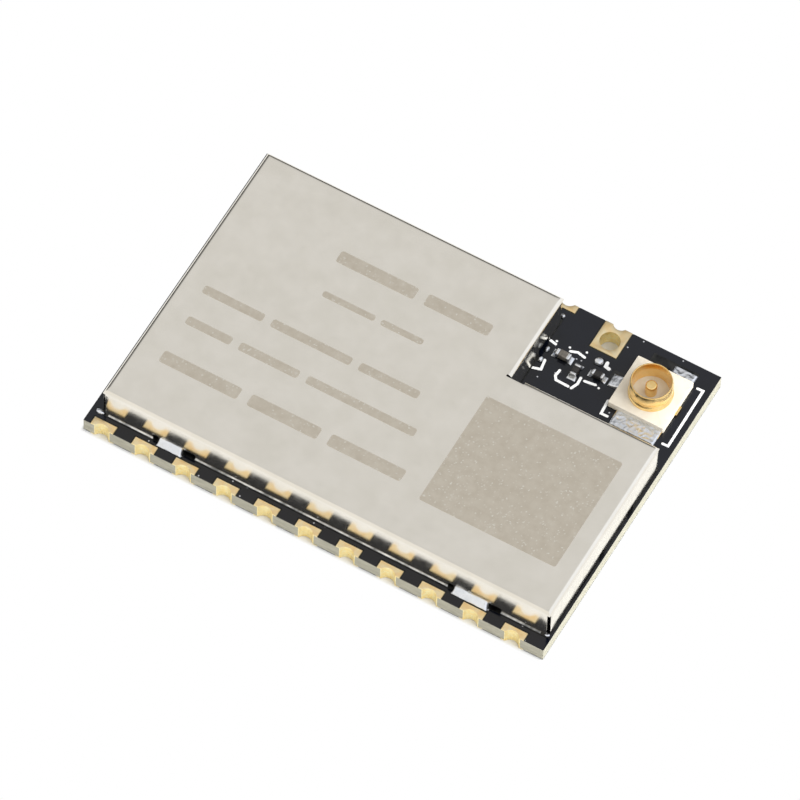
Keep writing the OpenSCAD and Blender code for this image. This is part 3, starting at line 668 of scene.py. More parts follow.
@dataclass
class Board:
    """The laminate, its lacquer and the lands that keep their solids."""

    length: float = 22.4
    width: float = 15.6
    thickness: float = 0.8
    copper: float = 0.05
    lacquer: float = 0.03

    @property
    def front(self) -> float:
        """Y of the front edge."""
        return -self.width / 2

    @property
    def back(self) -> float:
        """Y of the back edge."""
        return self.width / 2

    @property
    def mask_top(self) -> float:
        """Height of the lacquer's top face."""
        return self.thickness - self.copper + self.lacquer

    def dress(self, nodes: dict[str, Piece]) -> None:
        """Give the solids that stay their finishes.

        Args:
            nodes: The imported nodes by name.
        """
        finishes = {
            "board_core": LAMINATE,
            "top_solder_mask": MASK,
            "bottom_solder_mask": MASK,
            # The ground ring and the lands are painted near black: painted shade at the can's foot.
            "shield_ground_ring": TIN_PAINTED_SHADE,
            "component_lands": TIN_PAINTED_SHADE,
            "radio_chip_body": MOULDING,
            "radio_chip_leads": TINNED,
            "crystal_base": TAN_CERAMIC,
            "crystal_lid": SHEET,
            "antenna_switch_body": MOULDING,
            "antenna_switch_leads": TINNED,
            "inner_capacitors": TAN_CERAMIC,
            "inner_coils": FERRITE,
            "inner_resistors": GLAZED,
            "inner_part_ends": TINNED,
        }
        for name, finish in finishes.items():
            mesh = nodes[name].data
            mesh.materials.clear()
            mesh.materials.append(finish.material())
            LOG.info("%s: %s", name, finish.name)


@dataclass
class EdgePads:
    """Rows of cut plated holes, and the antenna land behind the notch."""

    board: Board
    first_x: float = -10.3
    pitch: float = 2.0
    front_count: int = 11
    back_count: int = 8
    land_w: float = 1.1
    land_d: float = 0.38
    under_d: float = 0.9
    bore_r: float = 0.38
    plating: float = 0.04
    drill_out: float = 0.18
    antenna_x: float = 6.22
    antenna_w: float = 1.3
    antenna_d: float = 1.47
    antenna_bore_r: float = 0.45
    antenna_inset: float = 0.83
    antenna_edge_r: float = 0.34
    edge_r: float = 0.018
    arc_steps: int = 28
    hole_steps: int = 72
    upright: float = 0.5

    def bite(self, radius: float) -> list[Pair]:
        """Points of the cut hole's wall, from its +X end to its -X end."""
        low = math.degrees(math.asin(self.drill_out / radius))
        return arc((0.0, -self.drill_out), radius, low, 180.0 - low, self.arc_steps)

    def outline(self, width: float, depth: float, radius: float) -> list[Pair]:
        """Outline of a land with the cut hole in its edge."""
        half = width / 2
        return [(-half, 0.0), (-half, depth), (half, depth), (half, 0.0), *self.bite(radius)]

    def pad(self, bm: Draft, width: float, depths: Pair, radius: float, holes: list[list[Pair]]) -> None:
        """Add one pad about the middle of its edge, with the board towards +Y.

        Args:
            bm: The mesh.
            width: Width along the edge.
            depths: Depth on the top face and on the underside.
            radius: Radius of the plated cut hole.
            holes: Through holes in the lands.
        """
        top = self.board.thickness
        copper = self.board.copper
        slab(bm, [self.outline(width, depths[0], radius), *holes], top - copper, top, self.edge_r)
        slab(bm, [self.outline(width, depths[1], radius), *holes], 0.0, copper)
        inner = self.bite(radius)
        outer = self.bite(radius + self.plating)
        slab(bm, [[*inner, *reversed(outer)]], copper, top - copper)

    def paint_light_on_walls(self, mesh: bpy.types.Mesh) -> None:
        """Give the upright faces, the holes' walls most of all, their own plating, whose paler tone is
        painted light.

        Args:
            mesh: The pads' mesh.
        """
        mesh.materials.append(WALL_GOLD_PAINTED_LIGHT.material())
        for face in mesh.polygons:
            face.material_index = int(abs(face.normal.z) < self.upright)

    def row(self, name: str, start: Pair, count: int, turn_deg: float) -> Piece:
        """Repeat one pad along a board edge with Geometry Nodes.

        Args:
            name: Name of the piece.
            start: Place of the first pad.
            count: Number of pads.
            turn_deg: Turn of each pad about Z.

        Returns:
            The row as one plain mesh.
        """
        bm = bmesh.new()
        self.pad(bm, self.land_w, (self.land_d, self.under_d), self.bore_r, [])
        bm.transform(put(0.0, 0.0, 0.0, turn_deg))
        pad = deliver(bm, name + "_pad", LAND_GOLD, Smoothing.PART)
        tree = bpy.data.node_groups.new(name + "_tree", "GeometryNodeTree")
        face = tree.interface
        face.new_socket("Geometry", in_out="OUTPUT", socket_type="NodeSocketGeometry")
        values = {
            "Pad": ("NodeSocketObject", pad),
            "Count": ("NodeSocketInt", count),
            "Start": ("NodeSocketVector", (start[0] * MM, start[1] * MM, 0.0)),
            "Step": ("NodeSocketVector", (self.pitch * MM, 0.0, 0.0)),
            "Finish": ("NodeSocketMaterial", LAND_GOLD.material()),
        }
        sockets = {
            key: face.new_socket(key, in_out="INPUT", socket_type=kind) for key, (kind, _) in values.items()
        }
        given = add_node(tree, "NodeGroupInput").outputs
        along = {"Count": given["Count"], "Start Location": given["Start"], "Offset": given["Step"]}
        line = add_node(tree, "GeometryNodeMeshLine", along, mode="OFFSET")
        source = add_node(tree, "GeometryNodeObjectInfo", {"Object": given["Pad"]})
        placed = {"Points": line.outputs["Mesh"], "Instance": source.outputs["Geometry"]}
        copies = add_node(tree, "GeometryNodeInstanceOnPoints", placed)
        real = add_node(tree, "GeometryNodeRealizeInstances", {"Geometry": copies.outputs[0]})
        coat = {"Geometry": real.outputs[0], "Material": given["Finish"]}
        coated = add_node(tree, "GeometryNodeSetMaterial", coat)
        add_node(tree, "NodeGroupOutput", {"Geometry": coated.outputs[0]})
        holder = bpy.data.objects.new(name, bpy.data.meshes.new(name + "_seed"))
        bpy.context.scene.collection.objects.link(holder)
        repeat = holder.modifiers.new("repeat", "NODES")
        repeat.node_group = tree
        for key, (_, value) in values.items():
            repeat[sockets[key].identifier] = value
        graph = bpy.context.evaluated_depsgraph_get()
        mesh = bpy.data.meshes.new_from_object(holder.evaluated_get(graph), depsgraph=graph)
        holder.modifiers.clear()
        holder.data = mesh
        bpy.data.objects.remove(pad)
        dress(mesh, LAND_GOLD, Smoothing.PART)
        self.paint_light_on_walls(mesh)
        return holder

    def antenna_land(self) -> Piece:
        """Build the land with the drilled antenna hole.

        Returns:
            The piece.
        """
        bm = bmesh.new()
        centre = (0.0, self.antenna_inset)
        hole = arc(centre, self.antenna_bore_r, 0.0, 360.0, self.hole_steps)[:-1]
        depth = self.antenna_d
        self.pad(bm, self.antenna_w, (depth, depth), self.antenna_edge_r, [hole])
        low, high = self.board.copper, self.board.thickness - self.board.copper
        bore, drill = self.antenna_bore_r, self.antenna_bore_r + self.plating
        lathe(bm, [(bore, low), (drill, low), (drill, high), (bore, high)], centre, self.hole_steps)
        bm.transform(put(self.antenna_x, self.board.back, 0.0, 180.0))
        piece = deliver(bm, "antenna_land_plated", LAND_GOLD, Smoothing.PART)
        self.paint_light_on_walls(piece.data)
        return piece

    def build(self) -> None:
        """Build both rows and the antenna land."""
        rows = (
            ("front_pad_row", (self.first_x, self.board.front), self.front_count, 0.0, "front_edge_pads"),
            ("back_pad_row", (self.first_x, self.board.back), self.back_count, 180.0, "back_edge_pads"),
        )
        for name, start, count, turn, node in rows:
            attach(self.row(name, start, count, turn), "gold_plating", node)
        attach(self.antenna_land(), "gold_plating", "antenna_land")


class Shell:
    """Faces that share their corner points."""

    def __init__(self) -> None:
        """Start an empty mesh."""
        self.bm = bmesh.new()
        self.found: dict[Triple, bmesh.types.BMVert] = {}

    def corner(self, x: float, y: float, z: float) -> bmesh.types.BMVert:
        """Make the point at a place when it is first asked for.

        Args:
            x: Place along X.
            y: Place along Y.
            z: Height.

        Returns:
            The point.
        """
        key = (round(x, WELD_DIGITS), round(y, WELD_DIGITS), round(z, WELD_DIGITS))
        if key not in self.found:
            self.found[key] = self.bm.verts.new((x, y, z))
        return self.found[key]

    def face(self, *places: Sequence[float]) -> None:
        """Add a face over places in order, where they span one.

        Args:
            *places: The face's corners.
        """
        corners = list(dict.fromkeys(self.corner(*p) for p in places))
        if len(corners) > 2 and self.bm.faces.get(corners) is None:
            self.bm.faces.new(corners)


@dataclass
class ShieldCan:
    """One folded sheet, L-shaped in plan, with mitred, slit corners and solder feet."""

    corners: tuple[Pair, ...] = (
        (11.08, 2.48), (11.08, -7.12), (-10.78, -7.12), (-10.78, 6.95), (3.96, 6.95), (3.96, 2.48),
    )
    leans: tuple[float, ...] = (1.0, 1.0, 4.0, 1.0, 1.0, 1.0)
    foot_z: float = 0.8
    top_z: float = 2.546
    sheet: float = 0.15
    bend_r: float = 0.22
    slit_w: float = 0.18
    open_slit_w: float = 0.4
    slit_cap: float = 0.19
    inner_relief: float = 0.6
    inner_gap: float = 0.1
    relief_h: float = 0.3
    # Middle along Y, width and height of the passage under the notch's side wall
    passage: Triple = (5.22, 0.9, 0.4)
    # Middle and width of each foot, from either end of a long wall
    long_feet: tuple[Pair, ...] = ((3.75, 1.7), (3.48, 1.2))
    # Width of the relief before and after each of them
    long_reliefs: Pair = (0.58, 0.28)
    # Middle and width of a side wall's foot
    side_foot: Pair = (3.75, 2.0)
    side_relief: float = 0.48
    # Where along Y the right wall's foot stands off its land, and by how much
    lifted: Triple = (-5.1, -2.85, 0.08)
    lift_steps: int = 10
    bend_steps: tuple[float, ...] = (0.0, 9.0, 18.0, 27.0, 36.0, 45.0, 54.0, 63.0, 73.0)
    under_bend: float = 0.07
    middle_z: float = 1.75
    plate_rim: float = 0.12
    edge_r: float = 0.012
    cut_deg: float = 60.0
    corner_reach: float = 0.7
    upright: float = 0.3
    column_gap: float = 1e-3
    tip_gap: float = 1e-4
    end_facing: float = 0.8

    def count(self) -> int:
        """Number of corners, and of walls."""
        return len(self.corners)

    def run(self, i: int) -> tuple[Vector, Vector, Vector]:
        """Start corner, direction and outward direction of a wall, in plan.

        Args:
            i: The wall.

        Returns:
            The three, in that order.
        """
        start, end = Vector(self.corners[i]), Vector(self.corners[(i + 1) % self.count()])
        way = (end - start).normalized()
        return start, way, Vector((-way.y, way.x))

    def wall_length(self, i: int) -> float:
        """Length of a wall along its foot."""
        return (Vector(self.corners[(i + 1) % self.count()]) - Vector(self.corners[i])).length

    def reach(self, i: int, z: float) -> float:
        """Plan distance from a wall's bend line to its outer face at a height below the bend.

        Args:
            i: The wall.
            z: The height.

        Returns:
            The distance.
        """
        lean = math.radians(self.leans[i])
        bend_z = self.top_z - self.bend_r
        drop = bend_z + self.bend_r * math.sin(lean) - z
        return self.bend_r * math.cos(lean) + drop * math.tan(lean)

    def rows(self, i: int) -> list[Pair]:
        """Reach and height of each row of points down a wall.

        Args:
            i: The wall.

        Returns:
            The rows, from the bend line to the foot.
        """
        bend_z = self.top_z - self.bend_r
        slit_turn = math.degrees(math.acos(1.0 - self.slit_cap / self.bend_r))
        turns = [*self.bend_steps, slit_turn, 90.0 - self.leans[i]]
        found = [
            (self.bend_r * math.sin(math.radians(t)), bend_z + self.bend_r * math.cos(math.radians(t)))
            for t in turns
        ]
        lower = found[-1][1]
        cuts = [self.foot_z + rise for rise in (self.passage[2], self.relief_h, 0.0)]
        heights = (lower - self.under_bend, self.middle_z, *cuts)
        return found + [(self.reach(i, z), z) for z in heights]

    def bend_at(self, i: int) -> float:
        """Plan distance from a wall's foot back to its bend line."""
        return self.reach(i, self.foot_z)

    def slit_back(self, corner: int, z: float) -> float:
        """How far a slit's edge stands back from the mitre at a height, along a wall.

        Args:
            corner: The corner.
            z: The height.

        Returns:
            The distance.
        """
        sprung = corner in (Wall.LEFT.value, Wall.NOTCH_SIDE.value)
        foot_w = self.open_slit_w if sprung else self.slit_w
        slit_z = self.top_z - self.slit_cap
        share = min(max((slit_z - z) / (slit_z - self.foot_z), 0.0), 1.0)
        return (self.slit_w + (foot_w - self.slit_w) * share) / math.sqrt(2.0)

    def ends(self, i: int, row: int, apart: bool) -> Pair:
        """Start and end of a row of points along a wall.

        Args:
            i: The wall.
            row: The row.
            apart: Whether the row ends at the slits instead of the mitres.

        Returns:
            Both places along the wall's foot.
        """
        reach, z = self.rows(i)[row]
        before, after = (i - 1) % self.count(), (i + 1) % self.count()
        inner = self.count() - 1
        joined = row <= len(self.bend_steps)
        stops = []
        for wall, corner in ((before, i), (after, after)):
            beside = reach if joined else self.reach(wall, z)
            stops.append(self.bend_at(wall) - beside + (self.slit_back(corner, z) if apart else 0.0))
        if i == inner:
            stops[0] = self.inner_relief
        if after == inner:
            stops[1] = self.inner_gap - self.bend_at(inner)
        return stops[0], self.wall_length(i) - stops[1]

    def openings(self, i: int) -> list[Triple]:
        """Start, end and height of each opening at a wall's foot.

        Args:
            i: The wall.

        Returns:
            The openings, in order along each foot.
        """
        before, after = self.long_reliefs
        length = self.wall_length(i)
        feet: list[Pair] = []
        if Wall(i) in (Wall.FRONT, Wall.BACK):
            (first, first_w), (last, last_w) = self.long_feet
            feet = [(first, first_w), (length - last, last_w)]
        elif Wall(i) in (Wall.RIGHT, Wall.LEFT):
            feet = [self.side_foot]
            before = after = self.side_relief
        found = []
        for middle, width in feet:
            start, end = middle - width / 2, middle + width / 2
            found += [(start - before, start, self.relief_h), (end, end + after, self.relief_h)]
        if Wall(i) is Wall.NOTCH_SIDE:
            y, width, height = self.passage
            middle = self.corners[i][1] - y
            found.append((middle - width / 2, middle + width / 2, height))
        return found

    def feet(self, i: int) -> list[Pair]:
        """Start and end of each solder foot along a wall."""
        cuts = [c for c in self.openings(i) if c[2] == self.relief_h]
        return [(a[1], b[0]) for a, b in zip(cuts[::2], cuts[1::2])]

    def lift(self, i: int, along: float) -> float:
        """How far a wall's foot stands off its land at a place.

        Args:
            i: The wall.
            along: The place along the wall.

        Returns:
            The gap.
        """
        start, way, _ = self.run(i)
        low, high, most = self.lifted
        y = (start + way * along).y
        if Wall(i) is not Wall.RIGHT or not low < y < high:
            return 0.0
        return most * math.sin(math.pi * (y - low) / (high - low)) ** 0.5

    def grid(self) -> tuple[list[float], list[float]]:
        """X and Y lines that the top plate and the walls share.

        Returns:
            The X lines and the Y lines, each in order.
        """
        xs, ys = set(), set()
        for i in range(self.count()):
            start, way, out = self.run(i)
            line = start - out * self.bend_at(i)
            inside = line - out * self.plate_rim
            marks = {*self.ends(i, 0, False), *(m for a, b, _ in self.openings(i) for m in (a, b))}
            lines = [start + way * m for m in marks]
            if Wall(i) is Wall.RIGHT:
                low, high, _ = self.lifted
                ys |= {low + (high - low) * k / self.lift_steps for k in range(self.lift_steps + 1)}
            if abs(way.x) > 0.5:
                ys |= {line.y, inside.y}
                xs |= {p.x for p in lines}
            else:
                xs |= {line.x, inside.x}
                ys |= {p.y for p in lines}
        across, along = (sorted({round(v, WELD_DIGITS) for v in values}) for values in (xs, ys))
        return across, along

    def plate(self, shell: Shell) -> None:
        """Add the flat top.

        Args:
            shell: The sheet's outer face.
        """
        xs, ys = self.grid()
        bends = [self.run(i)[0] - self.run(i)[2] * self.bend_at(i) for i in range(self.count())]
        right, front, left, back = bends[0].x, bends[1].y, bends[2].x, bends[3].y
        notch_x, notch_y = bends[4].x, bends[5].y
        z = self.top_z
        for x0, x1 in zip(xs, xs[1:]):
            for y0, y1 in zip(ys, ys[1:]):
                x, y = (x0 + x1) / 2, (y0 + y1) / 2
                over = left < x < right and front < y < back
                if over and not (x > notch_x and y > notch_y):
                    shell.face((x0, y0, z), (x1, y0, z), (x1, y1, z), (x0, y1, z))

    def wall(self, shell: Shell, i: int) -> None:
        """Add a wall's bend and its straight face, from mitre to mitre and slit to slit.

        Args:
            shell: The sheet's outer face.
            i: The wall.
        """
        start, way, out = self.run(i)
        line = start - out * self.bend_at(i)
        xs, ys = self.grid()
        across = abs(way.x) > 0.5
        sign = way.x if across else way.y
        origin = start.x if across else start.y
        first, last = self.ends(i, 0, False)
        columns = sorted({round((v - origin) * sign, WELD_DIGITS) for v in (xs if across else ys)})
        columns = [c for c in columns if first + self.column_gap < c < last - self.column_gap]
        rows = self.rows(i)
        openings = self.openings(i)
        slit_row = len(self.bend_steps)

        def spot(along: float, row: int) -> Triple:
            """Place of a point on the wall.

            Args:
                along: Its place along the wall.
                row: Its row.

            Returns:
                X, Y and Z.
            """
            reach, z = rows[row]
            if row == len(rows) - 1:
                z += self.lift(i, along)
            flat = line + way * along + out * reach
            return flat.x, flat.y, z

        def places(row: int, apart: bool) -> list[float]:
            """Places of a row's points along the wall, from end to end."""
            a, b = self.ends(i, row, apart)
            return [a, *columns, b]

        for k in range(len(rows) - 1):
            upper, lower = places(k, k >= slit_row), places(k + 1, k >= slit_row)
            tips = self.ends(i, slit_row, True) if k + 1 == slit_row else ()
            low = rows[k][1] - HAIR
            for j in range(len(upper) - 1):
                middle = (upper[j] + upper[j + 1]) / 2
                if any(p < middle < q and low <= self.foot_z + h for p, q, h in openings):
                    continue
                near, far = lower[j], lower[j + 1]
                between = [t for t in tips if near + self.tip_gap < t < far - self.tip_gap]
                edge = [spot(m, k + 1) for m in reversed([near, *between, far])]
                shell.face(spot(upper[j], k), spot(upper[j + 1], k), *edge)

    def mitre(self, bm: Draft) -> set[bmesh.types.BMVert]:
        """Slope the sheet's cut ends at the outer corners, so that each slit opens inwards.

        Args:
            bm: The thickened sheet, with its rims on the second material.

        Returns:
            The points that were moved.
        """
        bm.normal_update()
        moves: dict[bmesh.types.BMVert, Vector] = {}
        for face in bm.faces:
            if face.material_index != 1 or abs(face.normal.z) > self.upright:
                continue
            spot = face.calc_center_median().xy / MM
            gaps = [(Vector(c) - spot).length for c in self.corners[:-1]]
            corner = gaps.index(min(gaps))
            if gaps[corner] > self.corner_reach:
                continue
            for wall in (corner, (corner - 1) % self.count()):
                _, way, out = self.run(wall)
                if abs(face.normal.xy.dot(way)) < self.end_facing:
                    continue
                depths = [v.co.xy.dot(out) for v in face.verts]
                inner = [v for v, d in zip(face.verts, depths) if d < (min(depths) + max(depths)) / 2]
                moves.update({v: face.normal * -self.sheet * MM for v in inner})
        for vert, step in moves.items():
            vert.co += step
        return set(moves)

    def thicken(self, piece: Piece) -> None:
        """Give the folded sheet its thickness and break its cut edges.

        Args:
            piece: The sheet.
        """
        wall = piece.modifiers.new("sheet", "SOLIDIFY")
        wall.thickness = self.sheet * MM
        wall.offset = -1.0
        wall.use_even_offset = True
        wall.material_offset_rim = 1
        graph = bpy.context.evaluated_depsgraph_get()
        mesh = bpy.data.meshes.new_from_object(piece.evaluated_get(graph), depsgraph=graph)
        piece.modifiers.clear()
        bm = bmesh.new()
        bm.from_mesh(mesh)
        moved = self.mitre(bm)
        most = math.radians(self.cut_deg)
        plain = [e for e in bm.edges if len(e.link_faces) == 2 and moved.isdisjoint(e.verts)]
        rims = [e for e in plain if e.calc_face_angle() > most]
        offset = self.edge_r * MM
        bmesh.ops.bevel(
            bm, geom=rims, offset=offset, segments=2, profile=0.5, affect="EDGES", clamp_overlap=False
        )
        bm.to_mesh(mesh)
        bm.free()
        piece.data = mesh
        dress(mesh, SHEET, Smoothing.SHEET)
        mesh.materials.append(SHEARED.material())

    def build(self) -> None:
        """Fold the sheet, give it its thickness and attach it."""
        shell = Shell()
        self.plate(shell)
        for i in range(self.count()):
            self.wall(shell, i)
        piece = deliver(shell.bm, "shield_can_sheet", SHEET, Smoothing.SHEET)
        piece.data.materials.append(SHEARED.material())
        self.thicken(piece)
        attach(piece, "shield_sheet", "shield_can")


@dataclass
class EtchedMarks:
    """Plain bars and a plain field where the can's top is laser-marked."""

    low: float = 2.545
    high: float = 2.55
    end_r: float = 0.12
    end_steps: int = 6
    # Y, height and ends of the bars in each row
    rows: tuple[tuple[float, float, tuple[Pair, ...]], ...] = (
        (3.85, 0.62, ((-5.4, -1.6), (-1.1, 2.05))),
        (1.88, 0.3, ((-5.05, -2.5), (-2.2, -0.15))),
        (-0.5, 0.42, ((-9.55, -6.6), (-6.2, -2.3), (-1.9, 1.0))),
        (-2.2, 0.42, ((-9.4, -7.2), (-6.8, -3.9), (-3.5, 1.8))),
        (-4.3, 0.62, ((-9.4, -5.6), (-5.1, -1.7), (-1.2, 2.4))),
    )
    field_low: Pair = (3.5, -4.95)
    field_high: Pair = (10.1, 0.95)

    def bar(self, bm: Draft, low: Pair, high: Pair) -> None:
        """Add one flat bar with rounded corners.

        Args:
            bm: The mesh.
            low: Its lowest corner.
            high: Its highest corner.
        """
        (x0, y0), (x1, y1) = low, high
        r = self.end_r
        loop = []
        middles = ((x1 - r, y1 - r), (x0 + r, y1 - r), (x0 + r, y0 + r), (x1 - r, y0 + r))
        for k, middle in enumerate(middles):
            loop += arc(middle, r, 90.0 * k, 90.0 * (k + 1), self.end_steps)
        slab(bm, [loop], self.low, self.high)

    def build(self) -> None:
        """Build the marks and attach them."""
        bm = bmesh.new()
        for y, height, spans in self.rows:
            for start, end in spans:
                self.bar(bm, (start, y - height / 2), (end, y + height / 2))
        self.bar(bm, self.field_low, self.field_high)
        attach(deliver(bm, "etched_marks", MARKED, Smoothing.PART), "shield_sheet")


@dataclass
class ShieldSolder:
    """The bead along the can's long walls, the fillets at its feet and the drops at its corners."""

    can: ShieldCan
    # Width and height of the bead
    bead: Pair = (0.044, 0.034)
    bead_inset: float = 0.4
    bead_fade: float = 0.12
    bead_mean: float = 0.85
    # Share, size and seed of the bead's waves
    bead_waves: tuple[Triple, ...] = ((0.7, 0.6, 3.1), (0.3, 0.17, 7.7))
    bead_least: float = 0.05
    bead_step: float = 0.08
    bead_rows: int = 6
    # Reach and height of the solder at a foot
    foot: Pair = (0.24, 0.33)
    foot_fade: float = 0.08
    # Mean reach, swing and wave size of its outline, then swing and size of its lumps
    foot_rim: Triple = (0.85, 0.3, 0.3)
    foot_swell: Pair = (0.08, 0.4)
    foot_steps: tuple[int, int] = (32, 10)
    foot_seed: float = 5.3
    foot_film: float = 0.012
    sunk: float = 0.012
    drop_seed: float = 2.3
    # Place and half sizes of each drop
    corner_drops: tuple[tuple[float, ...], ...] = (
        (-10.76, -7.13, 0.84, 0.2, 0.12, 0.11),
        (3.89, 7.02, 0.85, 0.11, 0.1, 0.1),
        (10.96, -7.06, 0.82, 0.12, 0.09, 0.05),
    )

    def on_wall(self, i: int, along: float) -> Matrix:
        """Matrix of a place at a wall's foot, with Y outwards.

        Args:
            i: The wall.
            along: The place along the wall.

        Returns:
            The matrix.
        """
        start, way, out = self.can.run(i)
        spot = start + way * along - out * self.sunk
        return put(spot.x, spot.y, self.can.foot_z, math.degrees(math.atan2(out.y, out.x)) - 90.0)

    def bead_run(self, bm: Draft, i: int, a: float, b: float) -> None:
        """Add a wavy, broken bead between two places along a wall.

        Args:
            bm: The mesh.
            i: The wall.
            a: Where it starts along the wall.
            b: Where it ends.
        """
        reach, high = self.bead
        length = b - a

        def height(u: float, v: float) -> float:
            """Height of the bead.

            Args:
                u: Share of the length.
                v: Share of the reach.

            Returns:
                The height.
            """
            along = a + u * length
            ends = min(1.0, min(u, 1.0 - u) * length / self.bead_fade)
            waves = (share * ripple(along, i, size, seed) for share, size, seed in self.bead_waves)
            swell = sum(waves, self.bead_mean)
            return high * max(swell, self.bead_least) * math.sqrt(max(1.0 - v * v, 0.0)) * ends

        steps = (max(int(length / self.bead_step), 4), self.bead_rows)
        mound(bm, self.on_wall(i, (a + b) / 2), (length, reach), steps, height)

    def foot_fillet(self, bm: Draft, i: int, a: float, b: float) -> None:
        """Add the solder that climbs a solder foot.

        Args:
            bm: The mesh.
            i: The wall.
            a: Where it starts along the wall.
            b: Where it ends.
        """
        reach, high = self.foot
        length = b - a
        seed = self.foot_seed + i
        mean, swing, wave = self.foot_rim
        lump, lump_size = self.foot_swell

        def height(u: float, v: float) -> float:
            """Height of the solder at the foot.

            Args:
                u: Share of the length.
                v: Share of the reach.

            Returns:
                The height.
            """
            edge = min(1.0, min(u, 1.0 - u) * length / self.foot_fade)
            rim = mean + swing * ripple(u * length, 0.0, wave, seed)
            swell = 1.0 + lump * ripple(a + u * length, v, lump_size, seed)
            return (high * swell * max(1.0 - v / rim, 0.0) + self.foot_film) * edge**0.7

        mound(bm, self.on_wall(i, (a + b) / 2), (length, reach + self.sunk), self.foot_steps, height)

    def build(self) -> None:
        """Build the solder and attach it."""
        bm = bmesh.new()
        walls = (Wall.FRONT.value, Wall.BACK.value)
        before, after = self.can.long_reliefs
        for i in walls:
            start, end = self.bead_inset, self.can.wall_length(i) - self.bead_inset
            stops = [start, *(m for a, b in self.can.feet(i) for m in (a - before, b + after)), end]
            for a, b in zip(stops[::2], stops[1::2]):
                self.bead_run(bm, i, a, b)
        bead_faces = len(bm.faces)
        for i in walls:
            for a, b in self.can.feet(i):
                self.foot_fillet(bm, i, a, b)
        for k, (x, y, z, rx, ry, rz) in enumerate(self.corner_drops):
            blob(bm, (x, y, z), (rx, ry, rz), self.drop_seed + k)
        piece = deliver(bm, "shield_solder_frozen", SOLDER, Smoothing.BLOB)
        # The bead takes the finish whose white and grey patches are painted highlights and painted shade.
        piece.data.materials.append(BEAD_PAINTED_GLINTS.material())
        for face in piece.data.polygons[:bead_faces]:
            face.material_index = 1
        attach(piece, "solder", "shield_solder")


@dataclass
class ChipPart:
    """One chip part: its place, turn and size."""

    centre: Pair
    turn: float
    length: float
    width: float
    height: float
    end: float
    end_r: float = 0.08
    fillet_w: float = 1.15
    body_r: float = 0.03
    body_tuck: float = 0.03
    body_in: float = 0.008
    gap: float = 0.012
    end_steps: int = 5
    # How far a fillet starts inside the part, and what is added to its reach
    fillet_tuck: Pair = (0.06, 0.07)
    fillet_hollow: float = 1.6
    fillet_side: float = 0.12
    fillet_steps: tuple[int, int] = (18, 12)

    def where(self, board_top: float) -> Matrix:
        """Matrix that puts the part on the board."""
        return put(*self.centre, board_top, self.turn)

    def body(self, bm: Draft, board_top: float) -> None:
        """Add the part's body.

        Args:
            bm: The mesh.
            board_top: Height of the board's top.
        """
        half_l, half_w = self.length / 2 - self.end + self.body_tuck, self.width / 2 - self.body_in
        low, high = (-half_l, -half_w, self.gap), (half_l, half_w, self.height - self.gap)
        rounded_box(bm, low, high, self.body_r, self.where(board_top))

    def ends(self, bm: Draft, board_top: float) -> None:
        """Add the part's two metal ends.

        Args:
            bm: The mesh.
            board_top: Height of the board's top.
        """
        half_l, half_w = self.length / 2, self.width / 2
        for side in (0.0, 180.0):
            where = self.where(board_top) @ Matrix.Rotation(math.radians(side), 4, "Z")
            low, high = (half_l - self.end, -half_w, 0.0), (half_l, half_w, self.height)
            rounded_box(bm, low, high, self.end_r, where, self.end_steps)

    def fillets(self, bm: Draft, board_top: float, reach: float, rise: float) -> None:
        """Add the hollow solder fillets at the part's ends.

        Args:
            bm: The mesh.
            board_top: Height of the board's top.
            reach: How far they spread.
            rise: How high they climb.
        """
        back, longer = self.fillet_tuck
        side_share = self.fillet_side
        for side in (-90.0, 90.0):
            where = self.where(board_top) @ Matrix.Rotation(math.radians(side), 4, "Z")
            where = where @ Matrix.Translation((0.0, self.length / 2 - back, 0.0))

            def height(u: float, v: float) -> float:
                """Height of the fillet.

                Args:
                    u: Share of the length.
                    v: Share of the reach.

                Returns:
                    The height.
                """
                edge = 1.0 - abs(2.0 * u - 1.0) ** 4
                full = side_share + (1.0 - side_share) * edge
                return (rise * (1.0 - v) ** self.fillet_hollow + self.gap) * full

            mound(bm, where, (self.width * self.fillet_w, reach + longer), self.fillet_steps, height)


@dataclass
class NotchParts:
    """The matching parts in the notch, with their solder and the spare lands' domes."""

    board: Board
    inductor: ChipPart
    capacitors: tuple[ChipPart, ...]
    # Place, width, depth and height of each dome
    domes: tuple[tuple[float, float, float, float, float], ...] = (
        (6.32, 5.83, 0.4, 0.4, 0.17), (4.11, 5.25, 0.2, 0.3, 0.13), (4.11, 4.67, 0.2, 0.3, 0.13),
    )
    # Reach and height of the parts' fillets
    fillet: Pair = (0.12, 0.22)
    dome_seed: float = 1.7

    def build(self) -> None:
        """Build the parts and attach them."""
        top = self.board.thickness
        parts = (self.inductor, *self.capacitors)
        coil, chips, ends, solder = (bmesh.new() for _ in range(4))
        self.inductor.body(coil, top)
        for part in self.capacitors:
            part.body(chips, top)
        for part in parts:
            part.ends(ends, top)
            part.fillets(solder, top, *self.fillet)
        for k, (x, y, wide, deep, high) in enumerate(self.domes):
            blob(solder, (x, y, top), (wide / 2, deep / 2, high), self.dome_seed + k)
        made = (
            (coil, "series_inductor", FERRITE, Smoothing.PART, "ferrite", "notch_inductor"),
            (chips, "matching_capacitors", GLAZED, Smoothing.PART, "chip_moulding", "notch_capacitors"),
            (ends, "matching_part_ends", TINNED, Smoothing.PART, "tinned_copper", "notch_part_ends"),
            (solder, "matching_part_solder", SOLDER, Smoothing.BLOB, "solder", "notch_solder"),
        )
        for bm, name, finish, smoothing, slot, node in made:
            attach(deliver(bm, name, finish, smoothing), slot, node)


